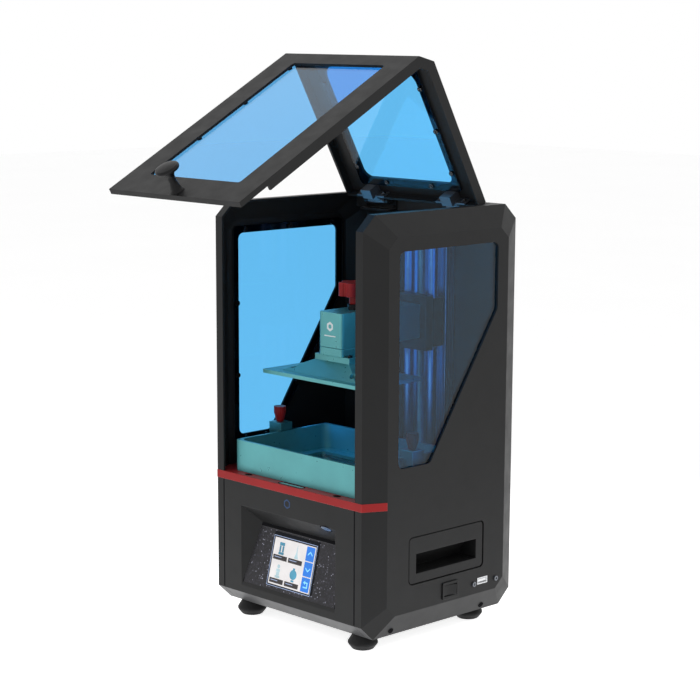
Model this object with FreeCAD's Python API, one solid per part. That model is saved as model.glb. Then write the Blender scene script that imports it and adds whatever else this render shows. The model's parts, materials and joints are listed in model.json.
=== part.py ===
"""Desktop resin printer: body, hinged cover, lifting platform, vat and the works inside.

Frame: X to the right, -Y to the front, +Z up, millimetres. The four feet stand on z = 0 and
the origin is under the middle of the body. The cover is modelled open, as it stands at rest.
"""
import FreeCAD, Part
import math
import os
from FreeCAD import Vector as V

# ---------------------------------------------------------------- driving dimensions
WIDTH = 220.0            # over the flat faces of the two side panels
DEPTH = 200.0            # front edge to back edge of the side panels
HEIGHT = 400.0           # feet to the top edge of the side panels
FEET = 14.0              # height of the feet, so the underside of the body
SKIN = 2.0               # wall of the side panels

PANEL_IN = 90.0          # inner rim of a side panel
PANEL_EDGE = 99.0        # outer end of a side panel's narrow front face
BEVEL_Y = 21.6           # run of the bevel at the front and back
BEVEL_Z_LOW = 21.2       # run of the bevel at the bottom
BEVEL_Z_TOP = 20.0       # run of the bevel at the top
CORNER = 15.0            # cut corner, along Y
CORNER_RATIO = 14.0 / 15.0

DECK_TOP = 143.0         # red deck that the vat stands on
DECK_THICK = 7.5
SCREW_Y = 75.0           # lead screw and guide rods, behind the platform
ROD_X = 15.7
ROD_R = 5.0
PLATFORM_Y = -30.5       # middle of the display, the vat and the build plate

COVER_HALF = 88.0        # half the cover's width
COVER_SKIN = 2.5
COVER_RIM = 10.0         # depth of the rim round the cover
HINGE_Y = 68.8
HINGE_Z = 394.9
OPEN_ANGLE = 61.0        # the cover stands open at rest by this angle
HINGE_X = 53.0

TILT = math.atan2(15.0, 62.0)   # lean of the display panel


# ---------------------------------------------------------------- helpers
def box(x, y, z):
    """Block between two x, two y and two z values."""
    return Part.makeBox(x[1] - x[0], y[1] - y[0], z[1] - z[0], V(x[0], y[0], z[0]))


def rod(radius, start, end):
    """Cylinder from one point to another."""
    line = V(*end) - V(*start)
    return Part.makeCylinder(radius, line.Length, V(*start), line)


def cone(radius_1, radius_2, start, end):
    line = V(*end) - V(*start)
    return Part.makeCone(radius_1, radius_2, line.Length, V(*start), line)


def ring(outer, inner, start, end):
    return rod(outer, start, end).cut(rod(inner, start, end))


def point_on(plane, level, a, b):
    """Point at a, b on the plane across axis x, y or z at the given level."""
    if plane == "x":
        return V(level, a, b)
    if plane == "y":
        return V(a, level, b)
    return V(a, b, level)


def outline(points, plane, level, radius=0.0):
    """Closed wire through 2-D points with its corners rounded to the radius."""
    count = len(points)
    corners = []
    for i in range(count):
        here = V(points[i][0], points[i][1], 0)
        back = (V(points[i - 1][0], points[i - 1][1], 0) - here).normalize()
        ahead = (V(points[(i + 1) % count][0], points[(i + 1) % count][1], 0) - here).normalize()
        if radius == 0:
            corners.append([here])
            continue
        half = back.getAngle(ahead) / 2
        middle = (back + ahead).normalize()
        reach = radius / math.tan(half)
        top = here + middle * (radius / math.sin(half) - radius)
        corners.append([here + back * reach, top, here + ahead * reach])
    edges = []
    for i in range(count):
        spots = [point_on(plane, level, p.x, p.y) for p in corners[i]]
        following = corners[(i + 1) % count][0]
        if len(spots) == 3:
            edges.append(Part.Arc(*spots).toShape())
        edges.append(Part.makeLine(spots[-1], point_on(plane, level, following.x, following.y)))
    return Part.Wire(edges)


def prism(points, plane, span, radius=0.0):
    """Solid with the given outline, between two levels across an axis."""
    wire = outline(points, plane, span[0], radius)
    return Part.Face(wire).extrude(point_on(plane, span[1] - span[0], 0, 0))


def rect(a, b):
    return [(a[0], b[0]), (a[1], b[0]), (a[1], b[1]), (a[0], b[1])]


def grown(points, margin):
    """Polygon, listed anticlockwise, with each side moved outwards by the margin."""
    count = len(points)
    result = []
    for i in range(count):
        before, here, after = points[i - 1], points[i], points[(i + 1) % count]
        d1 = V(here[0] - before[0], here[1] - before[1], 0).normalize()
        d2 = V(after[0] - here[0], after[1] - here[1], 0).normalize()
        n1, n2 = V(d1.y, -d1.x, 0), V(d2.y, -d2.x, 0)
        shift = (n1 + n2) * (margin / (1 + n1.dot(n2)))
        result.append((here[0] + shift.x, here[1] + shift.y))
    return result


def grown_span(span, margin):
    return (span[0] - margin, span[1] + margin)


def joined(*shapes):
    return shapes[0].multiFuse(list(shapes[1:])).removeSplitter()


def mirrored(shape):
    """The same shape on the other side of the middle plane."""
    return shape.mirror(V(0, 0, 0), V(1, 0, 0))


def turned(shape, base, axis, degrees):
    result = shape.copy()
    result.rotate(base, axis, degrees)
    return result


def rounded(shape, radius, chosen):
    """Shape with the edges for which chosen(edge) is true rounded."""
    return shape.makeFillet(radius, [edge for edge in shape.Edges if chosen(edge)])


def upright(edge):
    """True for an edge that runs along Z."""
    low, high = edge.BoundBox.ZMin, edge.BoundBox.ZMax
    return high - low > 1 and edge.BoundBox.XLength < 0.01 and edge.BoundBox.YLength < 0.01


SKEW = V(0.36, 0.48, 0.8)        # a direction that no screw points in


def screw(spot, out, head_r=2.6, head_h=1.6, shank_r=1.4, shank=4.0):
    """Hex socket screw: the head sits outside the spot, in direction out, the shank inside."""
    out = V(*out).normalize()
    spot = V(*spot)
    head = Part.makeCylinder(head_r, head_h, spot, out)
    corner = out.cross(SKEW).normalize() * (head_r * 0.5)
    floor = spot + out * head_h * 0.4
    turns = [FreeCAD.Rotation(out, 60 * i) for i in range(7)]
    hexagon = Part.Face(Part.makePolygon([floor + turn.multVec(corner) for turn in turns]))
    socket = hexagon.extrude(out * head_h)
    body = Part.makeCylinder(shank_r, shank, spot - out * shank, out)
    return head.cut(socket).fuse(body).removeSplitter()


nodes = {}


def put(name, shape):
    nodes[name] = shape


def add(name, *shapes):
    """Add separate solids to a node that holds a group of like pieces."""
    solids = list(nodes[name].Solids) if name in nodes else []
    for shape in shapes:
        solids += shape.Solids
    nodes[name] = Part.makeCompound(solids)


def carve(names, tool):
    """Cut a piece's own space out of the pieces that it is set into."""
    for name in names:
        nodes[name] = nodes[name].cut(tool)


# ---------------------------------------------------------------- side panels
def octagon(y_half, z_low, z_high, cut):
    """Outline of a side panel in Y and Z, with four cut corners."""
    cut_z = cut * CORNER_RATIO
    return [(-y_half + cut, z_low), (y_half - cut, z_low), (y_half, z_low + cut_z),
            (y_half, z_high - cut_z), (y_half - cut, z_high), (-y_half + cut, z_high),
            (-y_half, z_high - cut_z), (-y_half, z_low + cut_z)]


def bevelled(rim, face, x_start, x_edge, x_face):
    """Straight rim with a bevel up to a smaller face."""
    straight = prism(rim, "x", (x_start, x_edge))
    sloped = Part.makeLoft([outline(rim, "x", x_edge), outline(face, "x", x_face)], True, True)
    return straight.fuse(sloped).removeSplitter()


WINDOW = [(-65.0, 171.0), (-24.0, 171.0), (64.5, 305.0), (64.5, 367.0), (-65.0, 367.0)]
PANE_MARGIN = 7.0
PANE = 2.5
HANDLE_Y = (-50.5, 50.5)
HANDLE_Z = (60.0, 105.5)
SLOT_Y = (-40.3, 40.3)
SLOT_Z = (70.0, 88.5)
SWITCH_MID = V(WIDTH / 2, 4.5, 46.2)
SWITCH_HALF_Y, SWITCH_HALF_Z = 10.5, 8.2
USB_Y = (42.5, 56.3)
USB_Z = (43.5, 50.0)
USB_SCREWS = ((37.5, 45.0), (68.0, 45.2))


def side_panel():
    """Right side panel: a tray with its open side towards the machine."""
    rim = octagon(DEPTH / 2, FEET, HEIGHT, CORNER)
    flat_low, flat_high = FEET + BEVEL_Z_LOW, HEIGHT - BEVEL_Z_TOP
    face_half = DEPTH / 2 - BEVEL_Y
    outer = bevelled(rim, octagon(face_half, flat_low, flat_high, 10.6), PANEL_IN, PANEL_EDGE, WIDTH / 2)
    hollow_rim = octagon(DEPTH / 2 - SKIN, FEET + SKIN, HEIGHT - SKIN, CORNER - 0.586 * SKIN)
    hollow_face = octagon(face_half - 0.5, flat_low + 0.4, flat_high - 0.4, 10.3)
    hollow = bevelled(hollow_rim, hollow_face, PANEL_IN - 1, PANEL_EDGE - 1.2, WIDTH / 2 - SKIN)
    shell = outer.cut(hollow)
    through = (WIDTH / 2 - 10, WIDTH / 2 + 10)
    return shell.cut(prism(WINDOW, "x", through, 6.0)).cut(
        prism(rect(HANDLE_Y, HANDLE_Z), "x", through, 5.0))


def window_screws():
    """Screws that hold the right pane, along its margin."""
    x = WIDTH / 2 - SKIN - PANE
    slope = V(88.5, 134.0, 0).normalize()
    spots = [(-58, 370.6), (0, 370.6), (56, 370.6), (-58, 167.4), (-32, 167.4), (-68.6, 300), (-68.6, 230)]
    for along in (55.0, 115.0):
        spots.append((-24 + slope.x * along + slope.y * 3.6, 171 + slope.y * along - slope.x * 3.6))
    return [screw((x, y, z), (-1, 0, 0), shank=PANE + 1.4) for y, z in spots]


def make_sides():
    right = side_panel()
    pane = prism(grown(WINDOW, PANE_MARGIN), "x", (WIDTH / 2 - SKIN - PANE, WIDTH / 2 - SKIN), 5.0)
    put("side_panel_right", right)
    put("side_panel_left", mirrored(right))
    screws = window_screws()
    group = Part.makeCompound(screws + [mirrored(s) for s in screws])
    put("side_windows", Part.makeCompound([pane, mirrored(pane)]))
    carve(["side_panel_right", "side_panel_left", "side_windows"], group)
    add("case_screws", group)
    cup = handle_cup()
    put("handle_cups", Part.makeCompound([cup, mirrored(cup)]))


def handle_cup():
    """Finger grip: a plate with a groove round it, and a scoop behind its slot."""
    face_x = WIDTH / 2 - 0.4
    wall, groove = 2.0, 1.2
    top_depth, low_depth = 11.0, 23.0
    plate = prism(grown(rect(HANDLE_Y, HANDLE_Z), -groove), "x", (face_x - wall, face_x), 3.8)
    flange = prism(rect(HANDLE_Y, HANDLE_Z), "x", (face_x - wall, face_x - wall + 0.8), 5.0)
    low, high = SLOT_Z
    scoop = [(face_x + 1, low), (face_x + 1, high), (face_x - top_depth, high), (face_x - low_depth, low)]
    hollow = prism(scoop, "y", SLOT_Y)
    front = box((face_x, face_x + 20), (-DEPTH, DEPTH), (0, HEIGHT))
    pocket = prism(grown(scoop, wall), "y", grown_span(SLOT_Y, wall)).cut(front)
    return joined(plate, flange, pocket).cut(hollow)


# ---------------------------------------------------------------- ports and switch on the right
def make_ports():
    x = WIDTH / 2
    mid_y, mid_z = SWITCH_MID.y, SWITCH_MID.z
    hole_y, hole_z = SWITCH_HALF_Y - 1.9, SWITCH_HALF_Z - 2.8
    bezel = prism(rect((mid_y - SWITCH_HALF_Y, mid_y + SWITCH_HALF_Y),
                       (mid_z - SWITCH_HALF_Z, mid_z + SWITCH_HALF_Z)), "x", (x, x + 1.4), 1.5)
    body = box((x - 19, x), (mid_y - hole_y - 1, mid_y + hole_y + 1),
               (mid_z - hole_z - 1, mid_z + hole_z + 1))
    opening = box((x - 7.5, x + 2), (mid_y - hole_y, mid_y + hole_y), (mid_z - hole_z, mid_z + hole_z))
    put("switch_bezel", joined(bezel, body).cut(opening))
    pivot_x = x - 3
    half = 7.6
    side = [(pivot_x - 2, mid_y - 4.5), (pivot_x + 4.6, mid_y - half), (pivot_x + 3.4, mid_y),
            (pivot_x + 4.6, mid_y + half), (pivot_x - 2, mid_y + 4.5)]
    rocker = prism(side, "z", (mid_z - hole_z + 0.4, mid_z + hole_z - 0.4))
    put("power_rocker", turned(rocker, V(pivot_x, mid_y, mid_z), V(0, 0, 1), -8))

    port = box((x - 15, x + 0.4), USB_Y, USB_Z)
    mouth = box((x - 9, x + 1), (USB_Y[0] + 1, USB_Y[1] - 1), (USB_Z[0] + 1, USB_Z[1] - 1))
    tongue = box((x - 9, x - 0.2), (USB_Y[0] + 1.5, USB_Y[1] - 1.5), (USB_Z[1] - 4.2, USB_Z[1] - 1.6))
    put("usb_port", port.cut(mouth).fuse(tongue))
    screws = Part.makeCompound([screw((x, y, z), (1, 0, 0), 2.4, 1.4, 1.4, 6) for y, z in USB_SCREWS])
    for tool in (body, port, screws):
        carve(["side_panel_right"], tool)
    add("case_screws", screws)


# ---------------------------------------------------------------- base, deck and back
PLATE_HALF = PANEL_IN - 0.3
FASCIA_Y = -DEPTH / 2
FASCIA = 2.5
RECESS_HALF = 65.0
RECESS_LOW, RECESS_HIGH = 35.0, 113.5
INNER_HALF, INNER_DEPTH, INNER_TOP = 51.0, 15.0, 97.0
SCREEN_W, SCREEN_H = 62.0, 50.0
SCREEN_UP = 9.0          # lower edge of the screen above the foot of the display panel


def wedge(half, inner_half, y_front, y_back, low, high, top):
    """Recess shape: full height at the front, narrowing to a line at the back, closed below."""
    a, b = V(-half, y_front, high), V(half, y_front, high)
    c, d = V(inner_half, y_back, top), V(-inner_half, y_back, top)
    e, f = V(-half, y_front, low), V(half, y_front, low)
    loops = [(a, b, f, e), (a, b, c, d), (d, c, f, e), (a, d, e), (b, c, f)]
    faces = [Part.Face(Part.makePolygon(list(loop) + [loop[0]])) for loop in loops]
    return Part.makeSolid(Part.makeShell(faces))


def panel_point(x, up, back=0.0):
    """Point on the leaning display panel: x across, up along its slope, back behind it."""
    y = FASCIA_Y + up * math.sin(TILT) + back * math.cos(TILT)
    z = RECESS_LOW + up * math.cos(TILT) - back * math.sin(TILT)
    return V(x, y, z)


def leaning(corners, back):
    """Plate parallel to the display panel, from corner points (x, up), between two depths."""
    wire = Part.makePolygon([panel_point(x, up, back[0]) for x, up in corners + corners[:1]])
    step = panel_point(0, 0, back[1]) - panel_point(0, 0, back[0])
    return Part.Face(wire).extrude(step)


def bent_plate(top, direction):
    """Front or back plate seen from the side: upright, with its foot cut like the side panels."""
    cut_z = CORNER * CORNER_RATIO
    face, slant = DEPTH / 2, 1.1
    half = [(face, top), (face, FEET + cut_z), (face - CORNER, FEET), (face - CORNER - slant, FEET + 2.3),
            (face - FASCIA, FEET + cut_z + slant), (face - FASCIA, top)]
    return prism([(direction * y, z) for y, z in half], "x", (-PLATE_HALF, PLATE_HALF))


def make_front():
    plate = bent_plate(DECK_TOP - DECK_THICK, -1)
    wall = 2.5
    shell = wedge(RECESS_HALF + wall, INNER_HALF + wall + 1, FASCIA_Y + 1.5, FASCIA_Y + INNER_DEPTH + 5,
                  RECESS_LOW - 7.5, RECESS_HIGH + wall, INNER_TOP + wall)
    recess = wedge(RECESS_HALF, INNER_HALF, FASCIA_Y, FASCIA_Y + INNER_DEPTH,
                   RECESS_LOW, RECESS_HIGH, INNER_TOP)
    length = math.hypot(INNER_DEPTH, INNER_TOP - RECESS_LOW)
    panel_outline = [(-RECESS_HALF + 1.2, 4.0), (RECESS_HALF - 1.2, 4.0),
                     (INNER_HALF - 0.3, length), (-INNER_HALF + 0.3, length)]
    panel = leaning(panel_outline, (0.0, 2.0))
    screen_up = (SCREEN_UP, SCREEN_UP + SCREEN_H)
    board_up = grown_span(screen_up, 2.0)
    screen = leaning(rect((-SCREEN_W / 2, SCREEN_W / 2), screen_up), (-0.3, 2.0))
    module = leaning(rect((-33, 33), board_up), (2.0, 8.0))
    board = leaning(rect((-38, 38), board_up), (8.0, 9.6))
    room = leaning(rect((-40, 40), grown_span(screen_up, 4.0)), (3.0, 14.0))
    fascia = joined(plate, shell).cut(recess).cut(panel).cut(module).cut(board).cut(room)
    put("front_fascia", fascia)
    put("display_panel", panel.cut(screen))
    put("touch_screen", screen)
    put("display_board", Part.makeCompound([module, board]))


def make_trim():
    """Red strip across the front, which wraps onto the bevels of the side panels."""
    proud, sunk = 0.5, 1.3
    slope = V(WIDTH / 2 - PANEL_EDGE, BEVEL_Y, 0).normalize()
    side = V(slope.y, -slope.x, 0)
    front_edge = V(PANEL_EDGE, -DEPTH / 2, 0)
    far_edge = V(WIDTH / 2, -DEPTH / 2 + BEVEL_Y, 0)
    outer = [far_edge + side * proud, front_edge + V(0.3, -proud, 0)]
    inner = [front_edge + V(-0.7, sunk, 0), far_edge - side * sunk]
    right = [(p.x, p.y) for p in outer + inner]
    left = [(-x, y) for x, y in right]
    path = [right[0], right[1], left[1], left[0], left[3], left[2], right[2], right[3]]
    put("front_trim", prism(path, "z", (DECK_TOP - DECK_THICK, DECK_TOP)))
    carve(["side_panel_right", "side_panel_left"], nodes["front_trim"])


GLASS_X, GLASS_Y = 66.0, 40.0     # half sizes of the display glass in the deck


def make_deck():
    half = PANEL_EDGE - 1.6
    wide = WIDTH / 2 - SKIN - 0.2
    straight = DEPTH / 2 - BEVEL_Y - 0.8
    back = DEPTH / 2 - 3.6
    front = -DEPTH / 2 + 1.3
    right = [(PLATE_HALF, front), (PLATE_HALF, front + 0.9), (half, front + 0.9), (wide, -straight),
             (wide, straight), (half, back)]
    path = right + [(-x, y) for x, y in reversed(right)]
    bottom = DECK_TOP - DECK_THICK
    deck = prism(path, "z", (bottom, DECK_TOP))
    glass_y = (PLATFORM_Y - GLASS_Y, PLATFORM_Y + GLASS_Y)
    light_hole = rect((-61, 61), (PLATFORM_Y - 35, PLATFORM_Y + 35))
    deck = deck.cut(prism(light_hole, "z", (bottom - 1, DECK_TOP), 2.0))
    glass = prism(rect((-GLASS_X, GLASS_X), glass_y), "z", (DECK_TOP - 1.5, DECK_TOP), 2.0)
    panel = prism(rect((-GLASS_X, GLASS_X), glass_y), "z", (DECK_TOP - 4.5, DECK_TOP - 1.5), 2.0)
    deck = deck.cut(glass).cut(panel).cut(rod(6.5, (0, SCREW_Y, bottom - 1), (0, SCREW_Y, DECK_TOP + 1)))
    put("deck_plate", deck)
    put("display_glass", glass)
    put("masking_display", panel)
    magnet = prism(rect((-16, 16), (-96.4, -92.0)), "z", (DECK_TOP - 3, DECK_TOP), 2.1)
    put("door_magnet", magnet)
    sunk = 0.8
    spots = [V(x, -94.0, DECK_TOP - sunk) for x in (-60.7, 60.7)]
    screws = Part.makeCompound([screw(spot, (0, 0, 1), 2.8, sunk, 1.5, 5) for spot in spots])
    seats = Part.makeCompound([rod(2.8, spot, spot + V(0, 0, 2 * sunk)) for spot in spots])
    for tool in (magnet, screws, seats):
        carve(["deck_plate"], tool)
    add("case_screws", screws)


FAN_MID = V(55.0, 0.0, 66.0)     # exhaust fan on the back panel
FAN_HALF = 25.0
SOCKET_X, SOCKET_Z = -60.0, 42.0
BACK_Y = DEPTH / 2 - 2.5         # inner face of the back panel


def make_back():
    panel = bent_plate(HEIGHT - 14.2, 1)
    through = (BACK_Y - 1, DEPTH / 2 + 1)
    for i in range(-3, 4):
        height = math.sqrt(22.0 ** 2 - (i * 6.2) ** 2)
        x = FAN_MID.x + i * 6.2
        panel = panel.cut(prism(rect((x - 1.8, x + 1.8), (FAN_MID.z - height, FAN_MID.z + height)),
                                "y", through, 1.6))
    for i in range(6):
        z = 96.0 + i * 6.0
        for x in (-62.0, 62.0):
            panel = panel.cut(prism(rect((x - 16, x + 16), (z - 1.2, z + 1.2)), "y", through, 1.0))
    collar = rod(7.5, (SOCKET_X, DEPTH / 2, SOCKET_Z), (SOCKET_X, DEPTH / 2 + 1.5, SOCKET_Z))
    barrel = rod(5.5, (SOCKET_X, BACK_Y - 12, SOCKET_Z), (SOCKET_X, DEPTH / 2 + 1, SOCKET_Z))
    bore = rod(3.2, (SOCKET_X, BACK_Y - 8, SOCKET_Z), (SOCKET_X, DEPTH / 2 + 2, SOCKET_Z))
    pin = rod(1.0, (SOCKET_X, BACK_Y - 9, SOCKET_Z), (SOCKET_X, DEPTH / 2, SOCKET_Z))
    put("power_socket", joined(collar, barrel).cut(bore).fuse(pin))
    put("back_panel", panel.cut(barrel))
    spots = [(x, z) for x in (-80, 80) for z in (26, 130, 250, 372)]
    screws = Part.makeCompound([screw((x, DEPTH / 2, z), (0, 1, 0), shank=2.4) for x, z in spots])
    carve(["back_panel"], screws)
    add("case_screws", screws)

    base_half = DEPTH / 2 - CORNER - 1.2
    base = box((-PLATE_HALF, PLATE_HALF), (-base_half, base_half), (FEET, FEET + 2))
    for i in range(-4, 5):
        x = i * 7.0
        base = base.cut(prism(rect((x - 1.6, x + 1.6), (PLATFORM_Y - 26, PLATFORM_Y + 26)),
                              "z", (FEET - 1, FEET + 3), 1.4))
    put("bottom_plate", base)

    low, wall = HEIGHT - 14, 3.0
    front = SCREW_Y + 0.5
    beam = prism([(front, low), (front, HEIGHT), (DEPTH / 2 - CORNER, HEIGHT), (DEPTH / 2, low)],
                 "x", (-PLATE_HALF, PLATE_HALF))
    inside = prism([(front + wall, low - 1), (front + wall, HEIGHT - wall),
                    (DEPTH / 2 - CORNER - 1, HEIGHT - wall),
                    (DEPTH / 2 - wall - 1.2, low), (DEPTH / 2 - wall - 1.2, low - 1)],
                   "x", (-PLATE_HALF + wall, PLATE_HALF - wall))
    put("top_beam", beam.cut(inside))


FOOT_X = 77.0
FOOT_Y = (-76.0, 66.0)


def make_feet():
    profile = [(0, 0), (10, 0), (14, 5.2), (14, 6.8), (9.5, FEET), (0, FEET)]
    for y in FOOT_Y:
        for x in (-FOOT_X, FOOT_X):
            wire = Part.makePolygon([V(x + r, y, z) for r, z in profile + profile[:1]])
            add("feet", Part.Face(wire).revolve(V(x, y, 0), V(0, 0, 1), 360))
    slope = V(BEVEL_Z_LOW, 0, -(WIDTH / 2 - PANEL_EDGE)).normalize()
    x, z = PANEL_EDGE + 2.8, FEET + 2.8 * BEVEL_Z_LOW / (WIDTH / 2 - PANEL_EDGE)
    right = [screw((x, y, z), slope, 2.8, 0.8, 1.4, 1.8) for y in (-65.1, 56.8)]
    screws = Part.makeCompound(right + [mirrored(s) for s in right])
    carve(["side_panel_right", "side_panel_left"], screws)
    add("case_screws", screws)


# ---------------------------------------------------------------- works inside the base
def make_lamp():
    """Light box under the display: funnel, lamp board, cooler and fan."""
    top_z, low_z, wall = DECK_TOP - DECK_THICK, 72.0, 2.0
    y = PLATFORM_Y

    def shape(half_x, half_y, z):
        return outline(rect((-half_x, half_x), (y - half_y, y + half_y)), "z", z)

    outer = Part.makeLoft([shape(22, 22, low_z), shape(62, 36, top_z - 2)], True, True)
    ends = [shape(22 - wall, 22 - wall, low_z), shape(62 - wall, 36 - wall, top_z - 2)]
    inner = Part.makeLoft(ends, True, True)
    flange = prism(rect((-68, 68), (y - 42, y + 42)), "z", (top_z - 2, top_z), 3.0)
    flange = flange.cut(box((-60, 60), (y - 34, y + 34), (top_z - 3, top_z + 1)))
    put("lamp_funnel", joined(outer, flange).cut(inner))
    board = box((-24, 24), (y - 24, y + 24), (low_z - 2, low_z))
    steps = (-12, -4, 4, 12)
    lamps = [rod(2.6, (x, y + dy, low_z), (x, y + dy, low_z + 1.5)) for x in steps for dy in steps]
    put("lamp_board", joined(board, *lamps))
    fins = [box((-24, 24), (y - 24, y + 24), (low_z - 6, low_z - 2))]
    for i in range(9):
        x = -23.2 + i * 5.6
        fins.append(box((x, x + 1.6), (y - 24, y + 24), (low_z - 18, low_z - 6)))
    put("lamp_cooler", joined(*fins))
    fan("lamp_fan_rotor", V(0, y, low_z - 18), 24.0, V(0, 0, -1), 10.0)
    spots = [(x, y + dy) for x in (-64.5, 64.5) for dy in (-38.5, 38.5)]
    screws = Part.makeCompound([screw((x, dy, top_z - 2), (0, 0, -1), shank=3.8) for x, dy in spots])
    carve(["lamp_funnel", "deck_plate"], screws)
    add("inner_screws", screws)


def fan(rotor_name, face, half, out, thick):
    """Square fan frame behind a face, with a rotor that turns freely in it."""
    turn = FreeCAD.Rotation(V(0, 0, 1), out)

    def placed(shape):
        shape.Placement = FreeCAD.Placement(face, turn)
        return shape

    frame = prism(rect((-half, half), (-half, half)), "z", (0, thick), 3.0)
    frame = frame.cut(rod(half - 1.5, (0, 0, -1), (0, 0, thick + 1)))
    hub = rod(9.0, (0, 0, thick - 1.6), (0, 0, thick))
    struts = [box((-half + 1, half - 1), (-1.2, 1.2), (thick - 1.6, thick)),
              box((-1.2, 1.2), (-half + 1, half - 1), (thick - 1.6, thick))]
    add("fan_frames", placed(joined(frame, hub, *struts)))
    core = rod(9.0, (0, 0, 0.8), (0, 0, thick - 2.2))
    blades = []
    for i in range(7):
        blade = box((7.5, half - 2.5), (-0.6, 0.6), (1.2, thick - 2.6))
        blade = turned(blade, V(15, 0, thick / 2 - 0.7), V(1, 0, 0), 35)
        blades.append(turned(blade, V(0, 0, 0), V(0, 0, 1), i * 360 / 7))
    put(rotor_name, placed(joined(core, *blades).common(rod(half - 2.2, (0, 0, 0.6), (0, 0, thick - 2.0)))))


def make_electronics():
    fan("exhaust_fan_rotor", V(FAN_MID.x, BACK_Y, FAN_MID.z), FAN_HALF, V(0, -1, 0), 12.0)
    low = FEET + 2
    board_z = low + 8
    x_span, y_span = (-78.0, 12.0), (-62.0, 38.0)
    put("main_board", box(x_span, y_span, (board_z, board_z + 1.6)))
    posts = [rod(3.0, (x, y, low), (x, y, board_z)) for x in (-74, 8) for y in (-58, 34)]
    top = board_z + 1.6
    parts = [box((-52, -38), (-20, -6), (top, top + 2)), box((-76, -66), (-40, -10), (top, top + 9)),
             box((-30, -22), (16, 34), (top, top + 8)), box((-14, 6), (20, 32), (top, top + 8)),
             box((-60, -50), (6, 16), (top, top + 5)), rod(4.0, (-44, 26, top), (-44, 26, top + 10)),
             rod(4.0, (-56, 26, top), (-56, 26, top + 10))]
    put("board_parts", Part.makeCompound(posts + parts))


# ---------------------------------------------------------------- lift: motor, screw, rods
MOTOR_HALF = 21.1
MOTOR_Z = (78.0, 118.0)
COLUMN_TOP = 385.0
SCREW_R = 4.0
CARRIAGE_HALF = 23.0


def make_lift():
    y = SCREW_Y
    square = rect((-MOTOR_HALF, MOTOR_HALF), (y - MOTOR_HALF, y + MOTOR_HALF))
    motor = prism(square, "z", MOTOR_Z, 4.0)
    boss = rod(11.0, (0, y, MOTOR_Z[1]), (0, y, MOTOR_Z[1] + 2))
    put("lift_motor", joined(motor, boss).cut(rod(3.0, (0, y, MOTOR_Z[1] - 1), (0, y, MOTOR_Z[1] + 3))))
    low, bracket = DECK_TOP - DECK_THICK, 3.0
    plate = box((-CARRIAGE_HALF, CARRIAGE_HALF), (y - 21, y + 21), (MOTOR_Z[1], MOTOR_Z[1] + bracket))
    legs = [box((side * CARRIAGE_HALF - 1.2 - side * 1.2, side * CARRIAGE_HALF + 1.2 - side * 1.2),
                (y - 21, y + 21), (MOTOR_Z[1], low)) for side in (-1, 1)]
    put("motor_bracket", joined(plate, *legs).cut(rod(11.0, (0, y, 110), (0, y, MOTOR_Z[1] + 4))))
    shaft = rod(2.5, (0, y, MOTOR_Z[1] - 0.7), (0, y, MOTOR_Z[1] + 9))
    coupler = rod(9.0, (0, y, MOTOR_Z[1] + 4), (0, y, low - 1.5))
    put("lead_screw", rod(SCREW_R, (0, y, MOTOR_Z[1] + 9), (0, y, COLUMN_TOP - 4)))
    put("motor_coupler", Part.makeCompound([coupler.cut(shaft).cut(nodes["lead_screw"]), shaft]))

    rods = [rod(ROD_R, (x, y, DECK_TOP), (x, y, COLUMN_TOP)) for x in (-ROD_X, ROD_X)]
    put("guide_rods", Part.makeCompound(rods))
    back = box((-CARRIAGE_HALF, CARRIAGE_HALF), (y + 10.5, BACK_Y), (DECK_TOP, COLUMN_TOP))
    channel = box((-14, 14), (y + 9, y + 15), (DECK_TOP - 1, COLUMN_TOP + 1))
    put("column", back.cut(channel))
    for z, bore in (((DECK_TOP, DECK_TOP + 10), 6.5), ((COLUMN_TOP - 10, COLUMN_TOP), 7.0)):
        block = prism(rect((-CARRIAGE_HALF, CARRIAGE_HALF), (y - 9, y + 10.5)), "z", z, 2.0)
        block = block.cut(rod(bore, (0, y, z[0] - 1), (0, y, z[1] + 1)))
        add("rod_brackets", block.cut(nodes["guide_rods"]))
    add("rod_brackets", ring(7.0, SCREW_R + 0.3, (0, y, COLUMN_TOP - 9), (0, y, COLUMN_TOP - 3)))
    spots = [(x, z) for x in (-19, 19) for z in (DECK_TOP + 5, COLUMN_TOP - 5)]
    screws = Part.makeCompound([screw((x, y - 9, z), (0, -1, 0), 2.4, 1.6, 1.2, 6) for x, z in spots])
    carve(["rod_brackets", "guide_rods"], screws)
    add("inner_screws", screws)


# ---------------------------------------------------------------- carriage, arm and platform
CARRIAGE_Z = (255.0, 308.0)
CARRIAGE_Y = 58.0
ARM_HALF = 15.4
ARM_FRONT = -45.6
ARM_Z = (267.0, 300.0)
STUD_Y = -14.0
PLATE_Z = (238.0, 241.5)


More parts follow.
